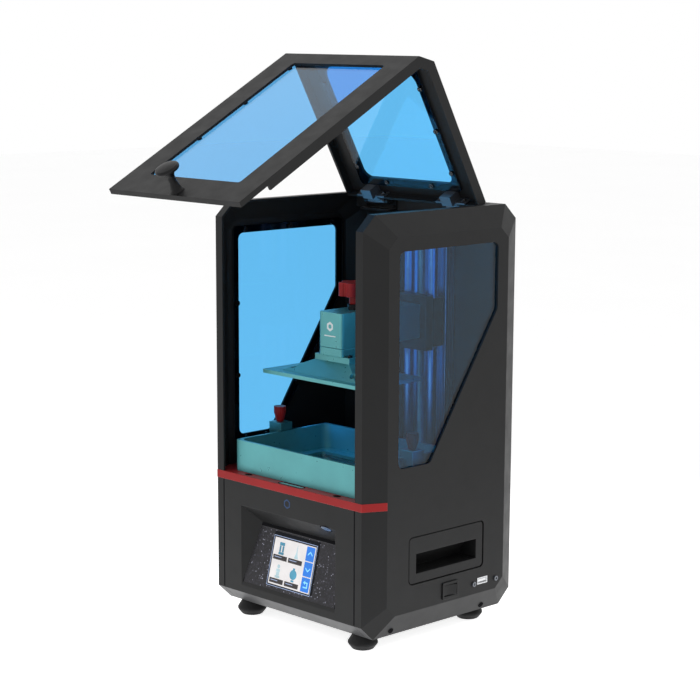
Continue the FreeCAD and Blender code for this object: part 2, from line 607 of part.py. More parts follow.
def make_carriage():
    y = SCREW_Y
    slab_back = y - 5.9
    slab = box((-CARRIAGE_HALF, CARRIAGE_HALF), (CARRIAGE_Y, slab_back), CARRIAGE_Z)
    slab = rounded(slab, 1.5, upright)
    blocks = [box((min(s * 8.8, s * CARRIAGE_HALF), max(s * 8.8, s * CARRIAGE_HALF)),
                  (slab_back, y + 7.5), (CARRIAGE_Z[0] + 3, CARRIAGE_Z[1] - 3)) for s in (-1, 1)]
    carriage = joined(slab, *blocks)
    for x in (-ROD_X, ROD_X):
        carriage = carriage.cut(rod(ROD_R + 0.35, (x, y, 200), (x, y, 350)))
    put("carriage", carriage)
    nut = joined(rod(7.6, (0, y, 272), (0, y, 276)), rod(6.2, (0, y, 262), (0, y, 276)))
    put("drive_nut", nut.cut(rod(SCREW_R + 0.3, (0, y, 261), (0, y, 277))))
    carve(["carriage"], rod(7.6, (0, y, 272), (0, y, 276)))
    carve(["carriage"], rod(6.2, (0, y, 262), (0, y, 276)))

    arm = box((-ARM_HALF, ARM_HALF), (ARM_FRONT, CARRIAGE_Y), ARM_Z)
    arm = rounded(arm, 3.0, lambda e: upright(e) and e.BoundBox.YMax < 0)
    arm = arm.cut(rod(4.0, (0, STUD_Y, ARM_Z[0] - 1), (0, STUD_Y, ARM_Z[1] + 1)))
    put("arm", arm)
    spots = [(x, z) for x in (-9, 9) for z in (ARM_Z[0] + 8, ARM_Z[1] - 8)]
    screws = Part.makeCompound([screw((x, slab_back, z), (0, 1, 0), 2.6, 1.2, 1.5, 20) for x, z in spots])
    carve(["carriage", "arm", "drive_nut"], screws)
    add("platform_screws", screws)


def make_platform():
    mid, half_y = PLATFORM_Y - 0.5, 40.0
    plate = prism(rect((-67, 67), (mid - half_y, mid + half_y)), "z", PLATE_Z, 2.5)
    put("build_plate", plate)
    low, step, top = PLATE_Z[1], 253.5, 259.0
    base = outline(rect((-50, 50), (mid - 30, mid + 32)), "z", low)
    crown = outline(rect((-23.2, 23.2), (-43.0, -9.0)), "z", step)
    slope = Part.makeLoft([base, crown], True, True)
    block = box((-23.2, 23.2), (-43.0, -9.0), (step, top))
    put("platform_block", slope.fuse(block).removeSplitter())
    head = box((-ARM_HALF, ARM_HALF), (ARM_FRONT, -4.0), (top, ARM_Z[0] - 0.4))
    put("platform_head", rounded(head, 3.0, lambda e: upright(e) and e.BoundBox.YMax < -40))
    stud = rod(3.0, (0, STUD_Y, ARM_Z[0] - 0.4), (0, STUD_Y, 318))
    spacer = ring(6.4, 3.4, (0, STUD_Y, ARM_Z[1]), (0, STUD_Y, ARM_Z[1] + 5))
    put("platform_stud", Part.makeCompound([stud, spacer]))
    spots = [(x, y) for x in (-40, 40) for y in (mid - 22, mid + 23)]
    screws = Part.makeCompound([screw((x, y, low), (0, 0, 1), 3.0, 2.4, 1.5, 2.5) for x, y in spots])
    wells = [rod(4.0, (x, y, low), (x, y, low + 14)) for x, y in spots]
    carve(["platform_block"], Part.makeCompound(wells))
    carve(["build_plate"], screws)
    level = [screw((x, y, top), (0, 0, 1), 2.4, 2.0, 1.5, 5) for x in (-19.2,) for y in (-38, -14)]
    level += [mirrored(s) for s in level]
    carve(["platform_block"], Part.makeCompound(level))
    add("platform_screws", screws, *level)

    lobes = []
    for i in range(6):
        angle = math.radians(60 * i)
        x, y = 10.8 * math.cos(angle), STUD_Y + 10.8 * math.sin(angle)
        lobes.append(rod(4.4, (x, y, 313), (x, y, 326)))
    core = rod(11.6, (0, STUD_Y, 313), (0, STUD_Y, 326))
    collar = rod(5.0, (0, STUD_Y, 305.4), (0, STUD_Y, 313))
    knob = joined(core, collar, *lobes)
    put("platform_knob", knob.cut(rod(3.3, (0, STUD_Y, 305), (0, STUD_Y, 320))))


# ---------------------------------------------------------------- vat and its clamps
VAT_HALF = 84.0
VAT_Y = (-90.0, 29.0)
VAT_Z = (DECK_TOP + 0.3, 173.3)
VAT_WALL = 3.0
FLOOR_TOP = 149.0


def make_vat():
    outer = prism(rect((-VAT_HALF, VAT_HALF), VAT_Y), "z", VAT_Z, 3.0)
    inner_y = (VAT_Y[0] + VAT_WALL, VAT_Y[1] - VAT_WALL)
    inner_x = (-VAT_HALF + VAT_WALL, VAT_HALF - VAT_WALL)
    inner = prism(rect(inner_x, inner_y), "z", (FLOOR_TOP, VAT_Z[1] + 1), 9.0)
    window_y = (PLATFORM_Y - 42.5, PLATFORM_Y + 42.5)
    window = prism(rect((-70, 70), window_y), "z", (VAT_Z[0] - 1, FLOOR_TOP + 1), 4.0)
    frame_outer = rect((-77, 77), (PLATFORM_Y - 49, PLATFORM_Y + 49))
    film = prism(frame_outer, "z", (145.8, 146.2), 4.0)
    frame = prism(frame_outer, "z", (VAT_Z[0] + 0.3, 145.8), 4.0)
    frame = frame.cut(prism(rect((-70, 70), window_y), "z", (140, 150), 4.0))
    put("vat_body", outer.cut(inner).cut(window).cut(prism(frame_outer, "z", (VAT_Z[0] - 1, 146.2), 4.0)))
    put("vat_film", film)
    put("film_frame", frame)
    spots = [(x, PLATFORM_Y + dy) for x in (-73.5, -36, 0, 36, 73.5) for dy in (-45.7, 45.7)]
    spots += [(x, PLATFORM_Y + dy) for x in (-73.5, 73.5) for dy in (-16, 16)]
    screws = [screw((x, y, 145.0), (0, 0, -1), 1.8, 1.0, 0.9, 3.5) for x, y in spots]
    carve(["film_frame", "vat_film", "vat_body"], Part.makeCompound(screws))
    add("film_frame", *screws)


CLAMP_X, CLAMP_Y = 90.0, -27.5
CLAMP_TOP = 181.5


def make_clamps():
    for side, name in ((-1, "left"), (1, "right")):
        x = side * CLAMP_X
        profile = [(84.8, DECK_TOP), (97.5, DECK_TOP), (97.5, CLAMP_TOP), (80.5, CLAMP_TOP),
                   (80.5, VAT_Z[1] + 0.7), (84.8, VAT_Z[1] + 0.7)]
        block = prism([(side * a, z) for a, z in profile], "y", (CLAMP_Y - 7.5, CLAMP_Y + 7.5))
        add("vat_clamps", block.cut(rod(2.85, (x, CLAMP_Y, 150), (x, CLAMP_Y, CLAMP_TOP + 1))))
        grip = joined(cone(3.6, 6.0, (x, CLAMP_Y, CLAMP_TOP + 0.4), (x, CLAMP_Y, 190.5)),
                      rod(6.0, (x, CLAMP_Y, 190.5), (x, CLAMP_Y, 196.6)))
        for i in range(8):
            angle = math.radians(45 * i + 10)
            gx, gy = x + 6.5 * math.cos(angle), CLAMP_Y + 6.5 * math.sin(angle)
            grip = grip.cut(rod(1.1, (gx, gy, 186), (gx, gy, 198)))
        shank = rod(2.5, (x, CLAMP_Y, 152), (x, CLAMP_Y, CLAMP_TOP + 1))
        put("vat_screw_" + name, grip.fuse(shank).removeSplitter())


# ---------------------------------------------------------------- cover, built shut
DOOR_Y = -98.1
DOOR_LOW = DECK_TOP + 0.5
LID_TOP = 399.5
LID_BACK = 63.5
BEND = (13.4, 14.5)      # chamfer between door and lid, along Y and Z
FOOT_RIM, FOOT_RIM_HIGH = 5.2, 34.5     # depth and height of the shallow rim at the door's foot
DOOR_WINDOW = ((-60.5, 60.5), (171.0, 367.5))
LID_WINDOW = ((-59.0, 59.0), (-77.0, 43.5))


def cover_profile(inset, back, low):
    """Bent strip seen from the side: the door, the chamfer and the lid, at a depth below the skin."""
    bend_y = DOOR_Y + BEND[0] + inset * 0.42
    bend_z = LID_TOP - BEND[1] - inset * 0.42
    return [(DOOR_Y + inset, low), (DOOR_Y + inset, bend_z),
            (bend_y, LID_TOP - inset), (back, LID_TOP - inset)]


def cover_frame():
    outside = cover_profile(0, LID_BACK, DOOR_LOW)
    inside = cover_profile(COVER_RIM, LID_BACK, DOOR_LOW)
    strip = prism(outside + inside[::-1], "x", (-COVER_HALF, COVER_HALF))
    under = cover_profile(COVER_SKIN, LID_BACK - COVER_SKIN, DOOR_LOW + COVER_SKIN)
    far = cover_profile(COVER_RIM + 8, LID_BACK - COVER_SKIN, DOOR_LOW + COVER_SKIN)
    inner_half = COVER_HALF - COVER_SKIN
    frame = strip.cut(prism(under + far[::-1], "x", (-inner_half, inner_half)))
    frame = frame.cut(box((-COVER_HALF - 1, COVER_HALF + 1), (DOOR_Y + FOOT_RIM, DOOR_Y + COVER_RIM + 1),
                          (DOOR_LOW - 1, DOOR_LOW + FOOT_RIM_HIGH)))
    frame = frame.cut(prism(rect(*DOOR_WINDOW), "y", (DOOR_Y - 2, DOOR_Y + 5), 3.0))
    lid_x, lid_y = LID_WINDOW
    through = (LID_TOP - 5, LID_TOP + 2)
    wide_corners = prism(rect(lid_x, (lid_y[0], lid_y[1] + 30)), "z", through, 15.0)
    return frame.cut(prism(rect(lid_x, lid_y), "z", through, 9.0).common(wide_corners))


def make_cover():
    """Cover and everything on it, built shut and then swung open about the hinge."""
    pieces = {"cover_frame": cover_frame()}
    door_in = DOOR_Y + COVER_SKIN
    lid_in = LID_TOP - COVER_SKIN
    door_x, door_z = DOOR_WINDOW
    lid_x, lid_y = LID_WINDOW
    pieces["door_window"] = prism(rect(grown_span(door_x, 7.5), grown_span(door_z, 7.5)),
                                  "y", (door_in, door_in + PANE), 3.0)
    pieces["lid_window"] = prism(rect(grown_span(lid_x, 7.5), (lid_y[0] - 4, lid_y[1] + 7.5)),
                                 "z", (lid_in - PANE, lid_in), 3.0)
    screws = []
    for x in (-64.2, 64.2):
        for z in (175, 238, 301, 364):
            screws.append(screw((x, door_in + PANE, z), (0, 1, 0), 2.4, 1.4, 1.2, PANE + 1.5))
    for x in (-62.8, 62.8):
        for y in (-58.6, -14, 31):
            screws.append(screw((x, y, lid_in - PANE), (0, 0, -1), 2.4, 1.4, 1.2, PANE + 1.5))
    for x in (-30, 30):
        screws.append(screw((x, door_in + PANE, 167.2), (0, 1, 0), 2.4, 1.4, 1.2, PANE + 1.5))
        screws.append(screw((x, 47.2, lid_in - PANE), (0, 0, -1), 2.4, 1.4, 1.2, PANE + 1.5))
    knob_z = 150.5
    pieces["cover_knob"] = revolved_knob(knob_z)
    pieces["cover_frame"] = pieces["cover_frame"].cut(rod(2.0, (0, DOOR_Y - 1, knob_z), (0, door_in, knob_z)))
    leaves = []
    rim_face = LID_BACK - COVER_SKIN
    for x in (-HINGE_X, HINGE_X):
        span = (x - 6.5, x + 6.5)
        block = box(span, (rim_face - 9.7, rim_face), (384.0, lid_in))
        flange = box((x - 18.5, x + 18.5), (rim_face - 1.6, rim_face), (388.0, lid_in))
        arm = box(span, (rim_face, HINGE_Y), (391.9, lid_in))
        ends = (x - 11, x + 11)
        knuckle = rod(3.4, (ends[0], HINGE_Y, HINGE_Z), (ends[1], HINGE_Y, HINGE_Z))
        leaf = joined(block, flange, arm, knuckle)
        leaves.append(leaf.cut(rod(2.1, (ends[0] - 1, HINGE_Y, HINGE_Z), (ends[1] + 1, HINGE_Y, HINGE_Z))))
        for dx in (-14.5, 14.5):
            screws.append(screw((x + dx, rim_face - 1.6, 392.6), (0, -1, 0), 2.4, 1.4, 1.4, 4.0))
    pieces["hinge_leaf_cover"] = Part.makeCompound(leaves)
    notch = Part.makeCompound([box((x - 6.8, x + 6.8), (LID_BACK - 4, LID_BACK + 1), (380, lid_in))
                               for x in (-HINGE_X, HINGE_X)])
    pieces["cover_frame"] = pieces["cover_frame"].cut(notch)
    group = Part.makeCompound(screws)
    for name in ("cover_frame", "door_window", "lid_window", "hinge_leaf_cover"):
        pieces[name] = pieces[name].cut(group)
    pieces["cover_screws"] = group
    for name, shape in pieces.items():
        put(name, turned(shape, V(0, HINGE_Y, HINGE_Z), V(1, 0, 0), -OPEN_ANGLE))


def revolved_knob(z):
    """Mushroom knob on the door, turned about its axis along Y."""
    start = DOOR_Y
    profile = [(0, 0), (7.0, 0), (5.0, -2.5), (3.6, -9), (3.6, -15), (5.5, -18.5), (10.5, -20.5),
               (11.2, -22.3), (10.3, -24.2), (6.0, -25.4), (0, -25.8)]
    wire = Part.makePolygon([V(r, start + d, z) for r, d in profile + profile[:1]])
    head = Part.Face(wire).revolve(V(0, start, z), V(0, 1, 0), 360)
    return head.fuse(rod(2.0, (0, start, z), (0, start + COVER_SKIN, z))).removeSplitter()


def make_hinges():
    """Fixed half of the two hinges, on the front of the top beam."""
    leaves, screws = [], []
    beam_face = SCREW_Y + 0.5
    for x in (-HINGE_X, HINGE_X):
        plate = box((x - 20, x + 20), (beam_face - 2.2, beam_face), (385.0, 399.0))
        shelf = box((x - 20, x + 20), (LID_BACK + 0.6, beam_face), (385.0, 387.0))
        ears = []
        for span in ((x - 16, x - 11.4), (x + 11.4, x + 16)):
            ears.append(rod(3.4, (span[0], HINGE_Y, HINGE_Z), (span[1], HINGE_Y, HINGE_Z)))
            ears.append(box(span, (HINGE_Y, beam_face), (391.9, 397.9)))
        leaf = joined(plate, shelf, *ears)
        pin = rod(1.8, (x - 17, HINGE_Y, HINGE_Z), (x + 17, HINGE_Y, HINGE_Z))
        leaves += [leaf.cut(pin), pin]
        for dx in (-18, 18):
            screws.append(screw((x + dx, beam_face - 2.2, 389.5), (0, -1, 0), 1.8, 1.0, 1.1, 4.5))
    group = Part.makeCompound(screws)
    put("hinge_leaf_body", Part.makeCompound(leaves))
    carve(["hinge_leaf_body", "top_beam"], group)
    add("case_screws", group)


def main():
    make_sides()
    make_ports()
    make_front()
    make_trim()
    make_deck()
    make_back()
    make_feet()
    make_lamp()
    make_electronics()
    make_lift()
    make_carriage()
    make_platform()
    make_vat()
    make_clamps()
    make_cover()
    make_hinges()
    os.makedirs("parts", exist_ok=True)
    for name, shape in nodes.items():
        print(name, "solids", len(shape.Solids), "valid", shape.isValid(), "volume", round(shape.Volume))
        shape.exportStep("parts/%s.step" % name)
    print(len(nodes), "nodes")


main()
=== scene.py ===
"""Desktop resin printer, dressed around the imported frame. Metres, +Z up, -Y to the front."""
import json
import math
import bmesh
import bpy
from mathutils import Matrix, Vector


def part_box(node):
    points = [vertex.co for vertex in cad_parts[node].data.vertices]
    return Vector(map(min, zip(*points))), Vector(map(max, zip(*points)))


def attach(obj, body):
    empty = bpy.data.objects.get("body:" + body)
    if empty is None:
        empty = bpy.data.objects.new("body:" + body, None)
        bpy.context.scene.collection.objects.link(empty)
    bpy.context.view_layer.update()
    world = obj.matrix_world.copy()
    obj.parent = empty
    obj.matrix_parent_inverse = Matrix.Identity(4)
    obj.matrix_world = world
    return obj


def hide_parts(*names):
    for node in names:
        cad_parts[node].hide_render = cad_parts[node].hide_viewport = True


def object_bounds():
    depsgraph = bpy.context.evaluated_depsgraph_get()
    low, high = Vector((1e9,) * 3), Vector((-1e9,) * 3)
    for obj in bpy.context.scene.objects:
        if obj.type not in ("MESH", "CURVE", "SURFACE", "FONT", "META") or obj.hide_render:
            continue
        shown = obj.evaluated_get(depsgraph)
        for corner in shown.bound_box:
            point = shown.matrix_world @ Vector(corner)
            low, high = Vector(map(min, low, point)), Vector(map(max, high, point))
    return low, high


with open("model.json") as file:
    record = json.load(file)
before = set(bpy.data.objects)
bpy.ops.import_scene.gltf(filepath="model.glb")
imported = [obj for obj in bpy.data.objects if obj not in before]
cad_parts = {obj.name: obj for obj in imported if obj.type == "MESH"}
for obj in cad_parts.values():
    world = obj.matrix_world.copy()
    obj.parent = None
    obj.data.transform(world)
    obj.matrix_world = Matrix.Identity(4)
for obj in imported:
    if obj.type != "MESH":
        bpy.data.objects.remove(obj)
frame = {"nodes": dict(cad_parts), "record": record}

cad_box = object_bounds()

MM = 0.001
CADS = frame["nodes"]
BODY_OF = {node: body for body, nodes in frame["record"]["behaviour"]["bodies"].items() for node in nodes}


# ---------------------------------------------------------------- node trees
class Tree:
    """A material with one Principled shader, and short calls that add nodes to it."""

    def __init__(self, name):
        self.material = bpy.data.materials.new(name)
        self.material.use_nodes = True
        self.nodes = self.material.node_tree.nodes
        self.links = self.material.node_tree.links
        self.shader = self.nodes["Principled BSDF"]
        self.out = self.nodes["Material Output"]
        self.place = self.nodes.new("ShaderNodeTexCoord").outputs["Object"]

    def set(self, **values):
        """Plain values on the shader's own sockets; an underscore in a name stands for a space."""
        for name, value in values.items():
            self.shader.inputs[name.replace("_", " ")].default_value = value
        return self

    def feed(self, socket, name):
        self.links.new(socket, self.shader.inputs[name])

    def stretched(self, scale):
        """The object's coordinates, scaled along each axis."""
        node = self.nodes.new("ShaderNodeMapping")
        node.inputs["Scale"].default_value = scale
        self.links.new(self.place, node.inputs["Vector"])
        return node.outputs["Vector"]

    def noise(self, scale, detail=2.0, rough=0.5, along=None):
        node = self.nodes.new("ShaderNodeTexNoise")
        node.inputs["Scale"].default_value = scale
        node.inputs["Detail"].default_value = detail
        node.inputs["Roughness"].default_value = rough
        self.links.new(along or self.place, node.inputs["Vector"])
        return node.outputs["Fac"]

    def cells(self, scale, feature="F1", along=None):
        node = self.nodes.new("ShaderNodeTexVoronoi")
        node.feature = feature
        node.inputs["Scale"].default_value = scale
        self.links.new(along or self.place, node.inputs["Vector"])
        return node.outputs["Distance"]

    def rings(self, scale, direction):
        """Fine parallel grooves across one axis."""
        node = self.nodes.new("ShaderNodeTexWave")
        node.wave_type = "BANDS"
        node.bands_direction = direction
        node.inputs["Scale"].default_value = scale
        node.inputs["Distortion"].default_value = 0.4
        self.links.new(self.place, node.inputs["Vector"])
        return node.outputs["Fac"]

    def spread(self, value, low, high, out_low=0.0, out_high=1.0):
        """Maps a range of a value to another range, clamped."""
        node = self.nodes.new("ShaderNodeMapRange")
        ends = {"From Min": low, "From Max": high, "To Min": out_low, "To Max": out_high}
        for name, number in ends.items():
            node.inputs[name].default_value = number
        self.links.new(value, node.inputs["Value"])
        return node.outputs["Result"]

    def math(self, operation, a, b):
        node = self.nodes.new("ShaderNodeMath")
        node.operation = operation
        for index, value in enumerate((a, b)):
            if isinstance(value, (int, float)):
                node.inputs[index].default_value = value
            else:
                self.links.new(value, node.inputs[index])
        return node.outputs["Value"]

    def blend(self, factor, a, b):
        """Mix of two colours, each a tuple or a socket."""
        node = self.nodes.new("ShaderNodeMix")
        node.data_type = "RGBA"
        self.links.new(factor, node.inputs["Factor"])
        for socket, value in ((node.inputs[6], a), (node.inputs[7], b)):
            if isinstance(value, tuple):
                socket.default_value = value + (1.0,)
            else:
                self.links.new(value, socket)
        return node.outputs[2]

    def bump(self, height, distance, strength=1.0, under=None):
        node = self.nodes.new("ShaderNodeBump")
        node.inputs["Strength"].default_value = strength
        node.inputs["Distance"].default_value = distance
        self.links.new(height, node.inputs["Height"])
        if under is not None:
            self.links.new(under, node.inputs["Normal"])
        return node.outputs["Normal"]


def shade(colour, amount):
    return tuple(min(1.0, c * amount) for c in colour)


# ---------------------------------------------------------------- materials
CHARCOAL = (0.0095, 0.0096, 0.0099)
BLACK = (0.0035, 0.0035, 0.0040)
RED = (0.25, 0.013, 0.014)
TEAL = (0.093, 0.345, 0.362)
STEEL = (0.56, 0.565, 0.58)
ACRYLIC = (0.137, 0.535, 0.93)
DOOR_ACRYLIC = (0.122, 0.46, 0.85)


def moulded(name, colour, rough=0.42, grain=1500.0, depth=0.02, wear_and_sheen=1.0, gloss=0.2):
    """Moulded plastic: fine spark-eroded grain, slight clouding, and a sheen that varies."""
    t = Tree(name).set(IOR=1.5, Specular_IOR_Level=gloss)
    cloud = t.noise(14.0, 3.0, 0.55)
    fleck = t.noise(900.0, 2.0, 0.6)
    tone = t.blend(t.spread(cloud, 0.35, 0.65), shade(colour, 0.93 * wear_and_sheen), shade(colour, 1.08 * wear_and_sheen))
    tone = t.blend(t.spread(fleck, 0.60, 0.78, 0.0, 0.35), tone, shade(colour, 1.7 * wear_and_sheen))
    t.feed(tone, "Base Color")
    t.feed(t.spread(t.noise(60.0, 4.0, 0.6), 0.3, 0.7, rough - 0.05, rough + 0.06), "Roughness")
    t.feed(t.bump(t.noise(grain, 3.0, 0.65), depth * MM, 0.6), "Normal")
    return t.material


def powder_coat(name, colour, rough=0.45):
    """Powder coat on sheet metal: orange peel over a faint ripple."""
    t = Tree(name).set(IOR=1.5, Specular_IOR_Level=0.3)
    cloud = t.noise(9.0, 2.0, 0.5)
    t.feed(t.blend(t.spread(cloud, 0.35, 0.65), shade(colour, 0.92), shade(colour, 1.1)), "Base Color")
    t.feed(t.spread(t.noise(140.0, 3.0, 0.6), 0.3, 0.7, rough - 0.06, rough + 0.06), "Roughness")
    peel = t.bump(t.cells(620.0, "SMOOTH_F1"), 0.02 * MM, 0.35)
    t.feed(t.bump(t.noise(2200.0, 2.0), 0.012 * MM, 0.6, peel), "Normal")
    return t.material


def anodised(name, colour, rough=0.38, metal=0.45, wear_and_sheen=1.0):
    """Bead-blasted aluminium under coloured anodising, with a few paler rub marks."""
    t = Tree(name).set(IOR=1.6, Metallic=metal, Coat_Weight=0.05, Coat_Roughness=0.25)
    cloud = t.noise(22.0, 3.0, 0.5)
    rub = t.noise(1.0, 4.0, 0.7, along=t.stretched((420.0, 60.0, 420.0)))
    tone = t.blend(t.spread(cloud, 0.35, 0.65), shade(colour, 0.93 * wear_and_sheen), shade(colour, 1.06 * wear_and_sheen))
    tone = t.blend(t.spread(rub, 0.62, 0.9, 0.0, 0.25), tone, shade(colour, 1.12 * wear_and_sheen))
    t.feed(tone, "Base Color")
    t.feed(t.spread(t.noise(180.0, 3.0, 0.6), 0.3, 0.7, rough - 0.06, rough + 0.07), "Roughness")
    t.feed(t.bump(t.noise(2600.0, 2.0, 0.7), 0.012 * MM, 0.5), "Normal")
    return t.material


def brushed(name, colour, along, rough=0.28):
    """Ground or drawn metal: lines that run along one axis."""
    t = Tree(name).set(Metallic=1.0, Anisotropic=0.4)
    scale = tuple(12.0 if axis == along else 2600.0 for axis in "XYZ")
    line = t.noise(1.0, 4.0, 0.7, along=t.stretched(scale))
    stain = t.noise(35.0, 3.0, 0.6)
    tone = t.blend(t.spread(stain, 0.3, 0.7), shade(colour, 0.86), colour)
    t.feed(t.blend(t.spread(line, 0.3, 0.7, 0.0, 0.4), tone, shade(colour, 1.25)), "Base Color")
    t.feed(t.spread(line, 0.3, 0.7, rough - 0.08, rough + 0.1), "Roughness")
    t.feed(t.bump(line, 0.01 * MM, 0.5), "Normal")
    return t.material


def turned_metal(name, colour, direction, rough=0.2):
    """Lathe-turned metal: fine rings across its axis."""
    t = Tree(name).set(Metallic=1.0)
    groove = t.rings(2400.0, direction)
    stain = t.noise(90.0, 3.0, 0.6)
    t.feed(t.blend(t.spread(stain, 0.35, 0.7), colour, shade(colour, 0.8)), "Base Color")
    t.feed(t.spread(groove, 0.0, 1.0, rough - 0.06, rough + 0.1), "Roughness")
    t.feed(t.bump(groove, 0.006 * MM, 0.5), "Normal")
    return t.material


def black_oxide(name):
    """Blackened steel screws, a little rubbed where a key turns them."""
    t = Tree(name).set(Metallic=0.85, IOR=1.5)
    rub = t.noise(700.0, 3.0, 0.6)
    t.feed(t.blend(t.spread(rub, 0.55, 0.8), (0.012, 0.012, 0.013), (0.10, 0.10, 0.105)), "Base Color")
    t.feed(t.spread(rub, 0.3, 0.7, 0.26, 0.42), "Roughness")
    t.feed(t.bump(t.noise(3000.0, 2.0), 0.008 * MM, 0.5), "Normal")
    return t.material


def rubber(name):
    """Soft black rubber with moulding haze and dust in its pores."""
    t = Tree(name).set(IOR=1.5, Specular_IOR_Level=0.25, Sheen_Weight=0.08, Sheen_Roughness=0.5)
    dust = t.noise(480.0, 4.0, 0.7)
    dusty = t.spread(dust, 0.58, 0.85, 0.0, 0.6)
    t.feed(t.blend(dusty, (0.0055, 0.0055, 0.006), (0.03, 0.029, 0.028)), "Base Color")
    t.feed(t.spread(t.noise(120.0), 0.3, 0.7, 0.62, 0.8), "Roughness")
    t.feed(t.bump(t.noise(1300.0, 4.0, 0.7), 0.03 * MM, 0.7), "Normal")
    return t.material


def acrylic(name, tint, rough=0.0):
    """Tinted clear sheet. Lamps shine through it in its own tint, so what it shuts in stays lit."""
    t = Tree(name).set(Base_Color=tint + (1.0,), Roughness=rough, IOR=1.36, Transmission_Weight=1.0)
    t.feed(t.bump(t.noise(9.0, 2.0), 0.02 * MM, 0.12), "Normal")
    lamp = t.nodes.new("ShaderNodeBsdfTransparent")
    lamp.inputs["Color"].default_value = tint + (1.0,)
    path = t.nodes.new("ShaderNodeLightPath")
    mix = t.nodes.new("ShaderNodeMixShader")
    t.links.new(path.outputs["Is Shadow Ray"], mix.inputs[0])
    t.links.new(t.shader.outputs["BSDF"], mix.inputs[1])
    t.links.new(lamp.outputs["BSDF"], mix.inputs[2])
    t.links.new(mix.outputs["Shader"], t.out.inputs["Surface"])
    return t.material


def speckled_panel(name):
    """Printed panel round the screen: near black, with faint stars and a thin net of lines."""
    t = Tree(name).set(IOR=1.5, Specular_IOR_Level=0.3)
    star = t.spread(t.cells(360.0), 0.08, 0.26, 1.0, 0.0)
    some = t.spread(t.noise(150.0, 2.0), 0.44, 0.52)
    net = t.spread(t.cells(70.0, "DISTANCE_TO_EDGE"), 0.006, 0.02, 0.22, 0.0)
    part = t.spread(t.noise(30.0, 2.0), 0.42, 0.6)
    dusty = t.spread(t.noise(420.0, 3.0, 0.7), 0.52, 0.72, 0.0, 0.8)
    base = t.blend(t.noise(25.0, 3.0), (0.006, 0.006, 0.008), (0.014, 0.013, 0.017))
    dusted = t.blend(dusty, base, (0.045, 0.042, 0.058))
    lined = t.blend(t.math("MULTIPLY", net, part), dusted, (0.13, 0.13, 0.19))
    t.feed(t.blend(t.math("MULTIPLY", star, some), lined, (0.34, 0.34, 0.42)), "Base Color")
    t.feed(t.spread(t.noise(200.0), 0.3, 0.7, 0.24, 0.36), "Roughness")
    t.feed(t.bump(t.noise(1800.0, 2.0), 0.006 * MM, 0.4), "Normal")
    return t.material


def gloss_black(name):
    """Display glass, dark and polished, with faint wipe marks."""
    t = Tree(name).set(IOR=1.52, Coat_Weight=0.5, Coat_Roughness=0.05)
    wipe = t.noise(1.0, 4.0, 0.6, along=t.stretched((30.0, 220.0, 30.0)))
    t.feed(t.blend(t.spread(wipe, 0.4, 0.7), (0.006, 0.007, 0.009), (0.011, 0.013, 0.016)), "Base Color")
    t.feed(t.spread(wipe, 0.4, 0.75, 0.05, 0.14), "Roughness")
    return t.material


def lit(name, colour, strength, drift=0.05):
    """A patch of a lit screen, with the fine dot pattern of its cells."""
    t = Tree(name).set(Roughness=0.25, IOR=1.5)
    cells = t.noise(2600.0, 1.0)
    cloud = t.noise(60.0, 1.0)
    tone = t.blend(t.spread(cloud, 0.35, 0.65), shade(colour, 1.0 - drift), shade(colour, 1.0 + drift))
    tone = t.blend(t.spread(cells, 0.4, 0.7, 0.0, 0.18), tone, shade(colour, 0.8))
    t.feed(tone, "Base Color")
    t.feed(tone, "Emission Color")
    t.set(Emission_Strength=strength)
    return t.material


def circuit_board(name):
    """Solder mask over copper tracks, which show as a slightly raised, paler net."""
    t = Tree(name).set(IOR=1.5, Coat_Weight=0.2, Coat_Roughness=0.2)
    track = t.spread(t.cells(190.0, "DISTANCE_TO_EDGE"), 0.02, 0.05, 1.0, 0.0)
    t.feed(t.blend(track, (0.008, 0.055, 0.025), (0.02, 0.13, 0.06)), "Base Color")
    t.feed(t.spread(t.noise(300.0), 0.3, 0.7, 0.3, 0.42), "Roughness")
    t.feed(t.bump(track, 0.03 * MM, 0.6), "Normal")
    return t.material


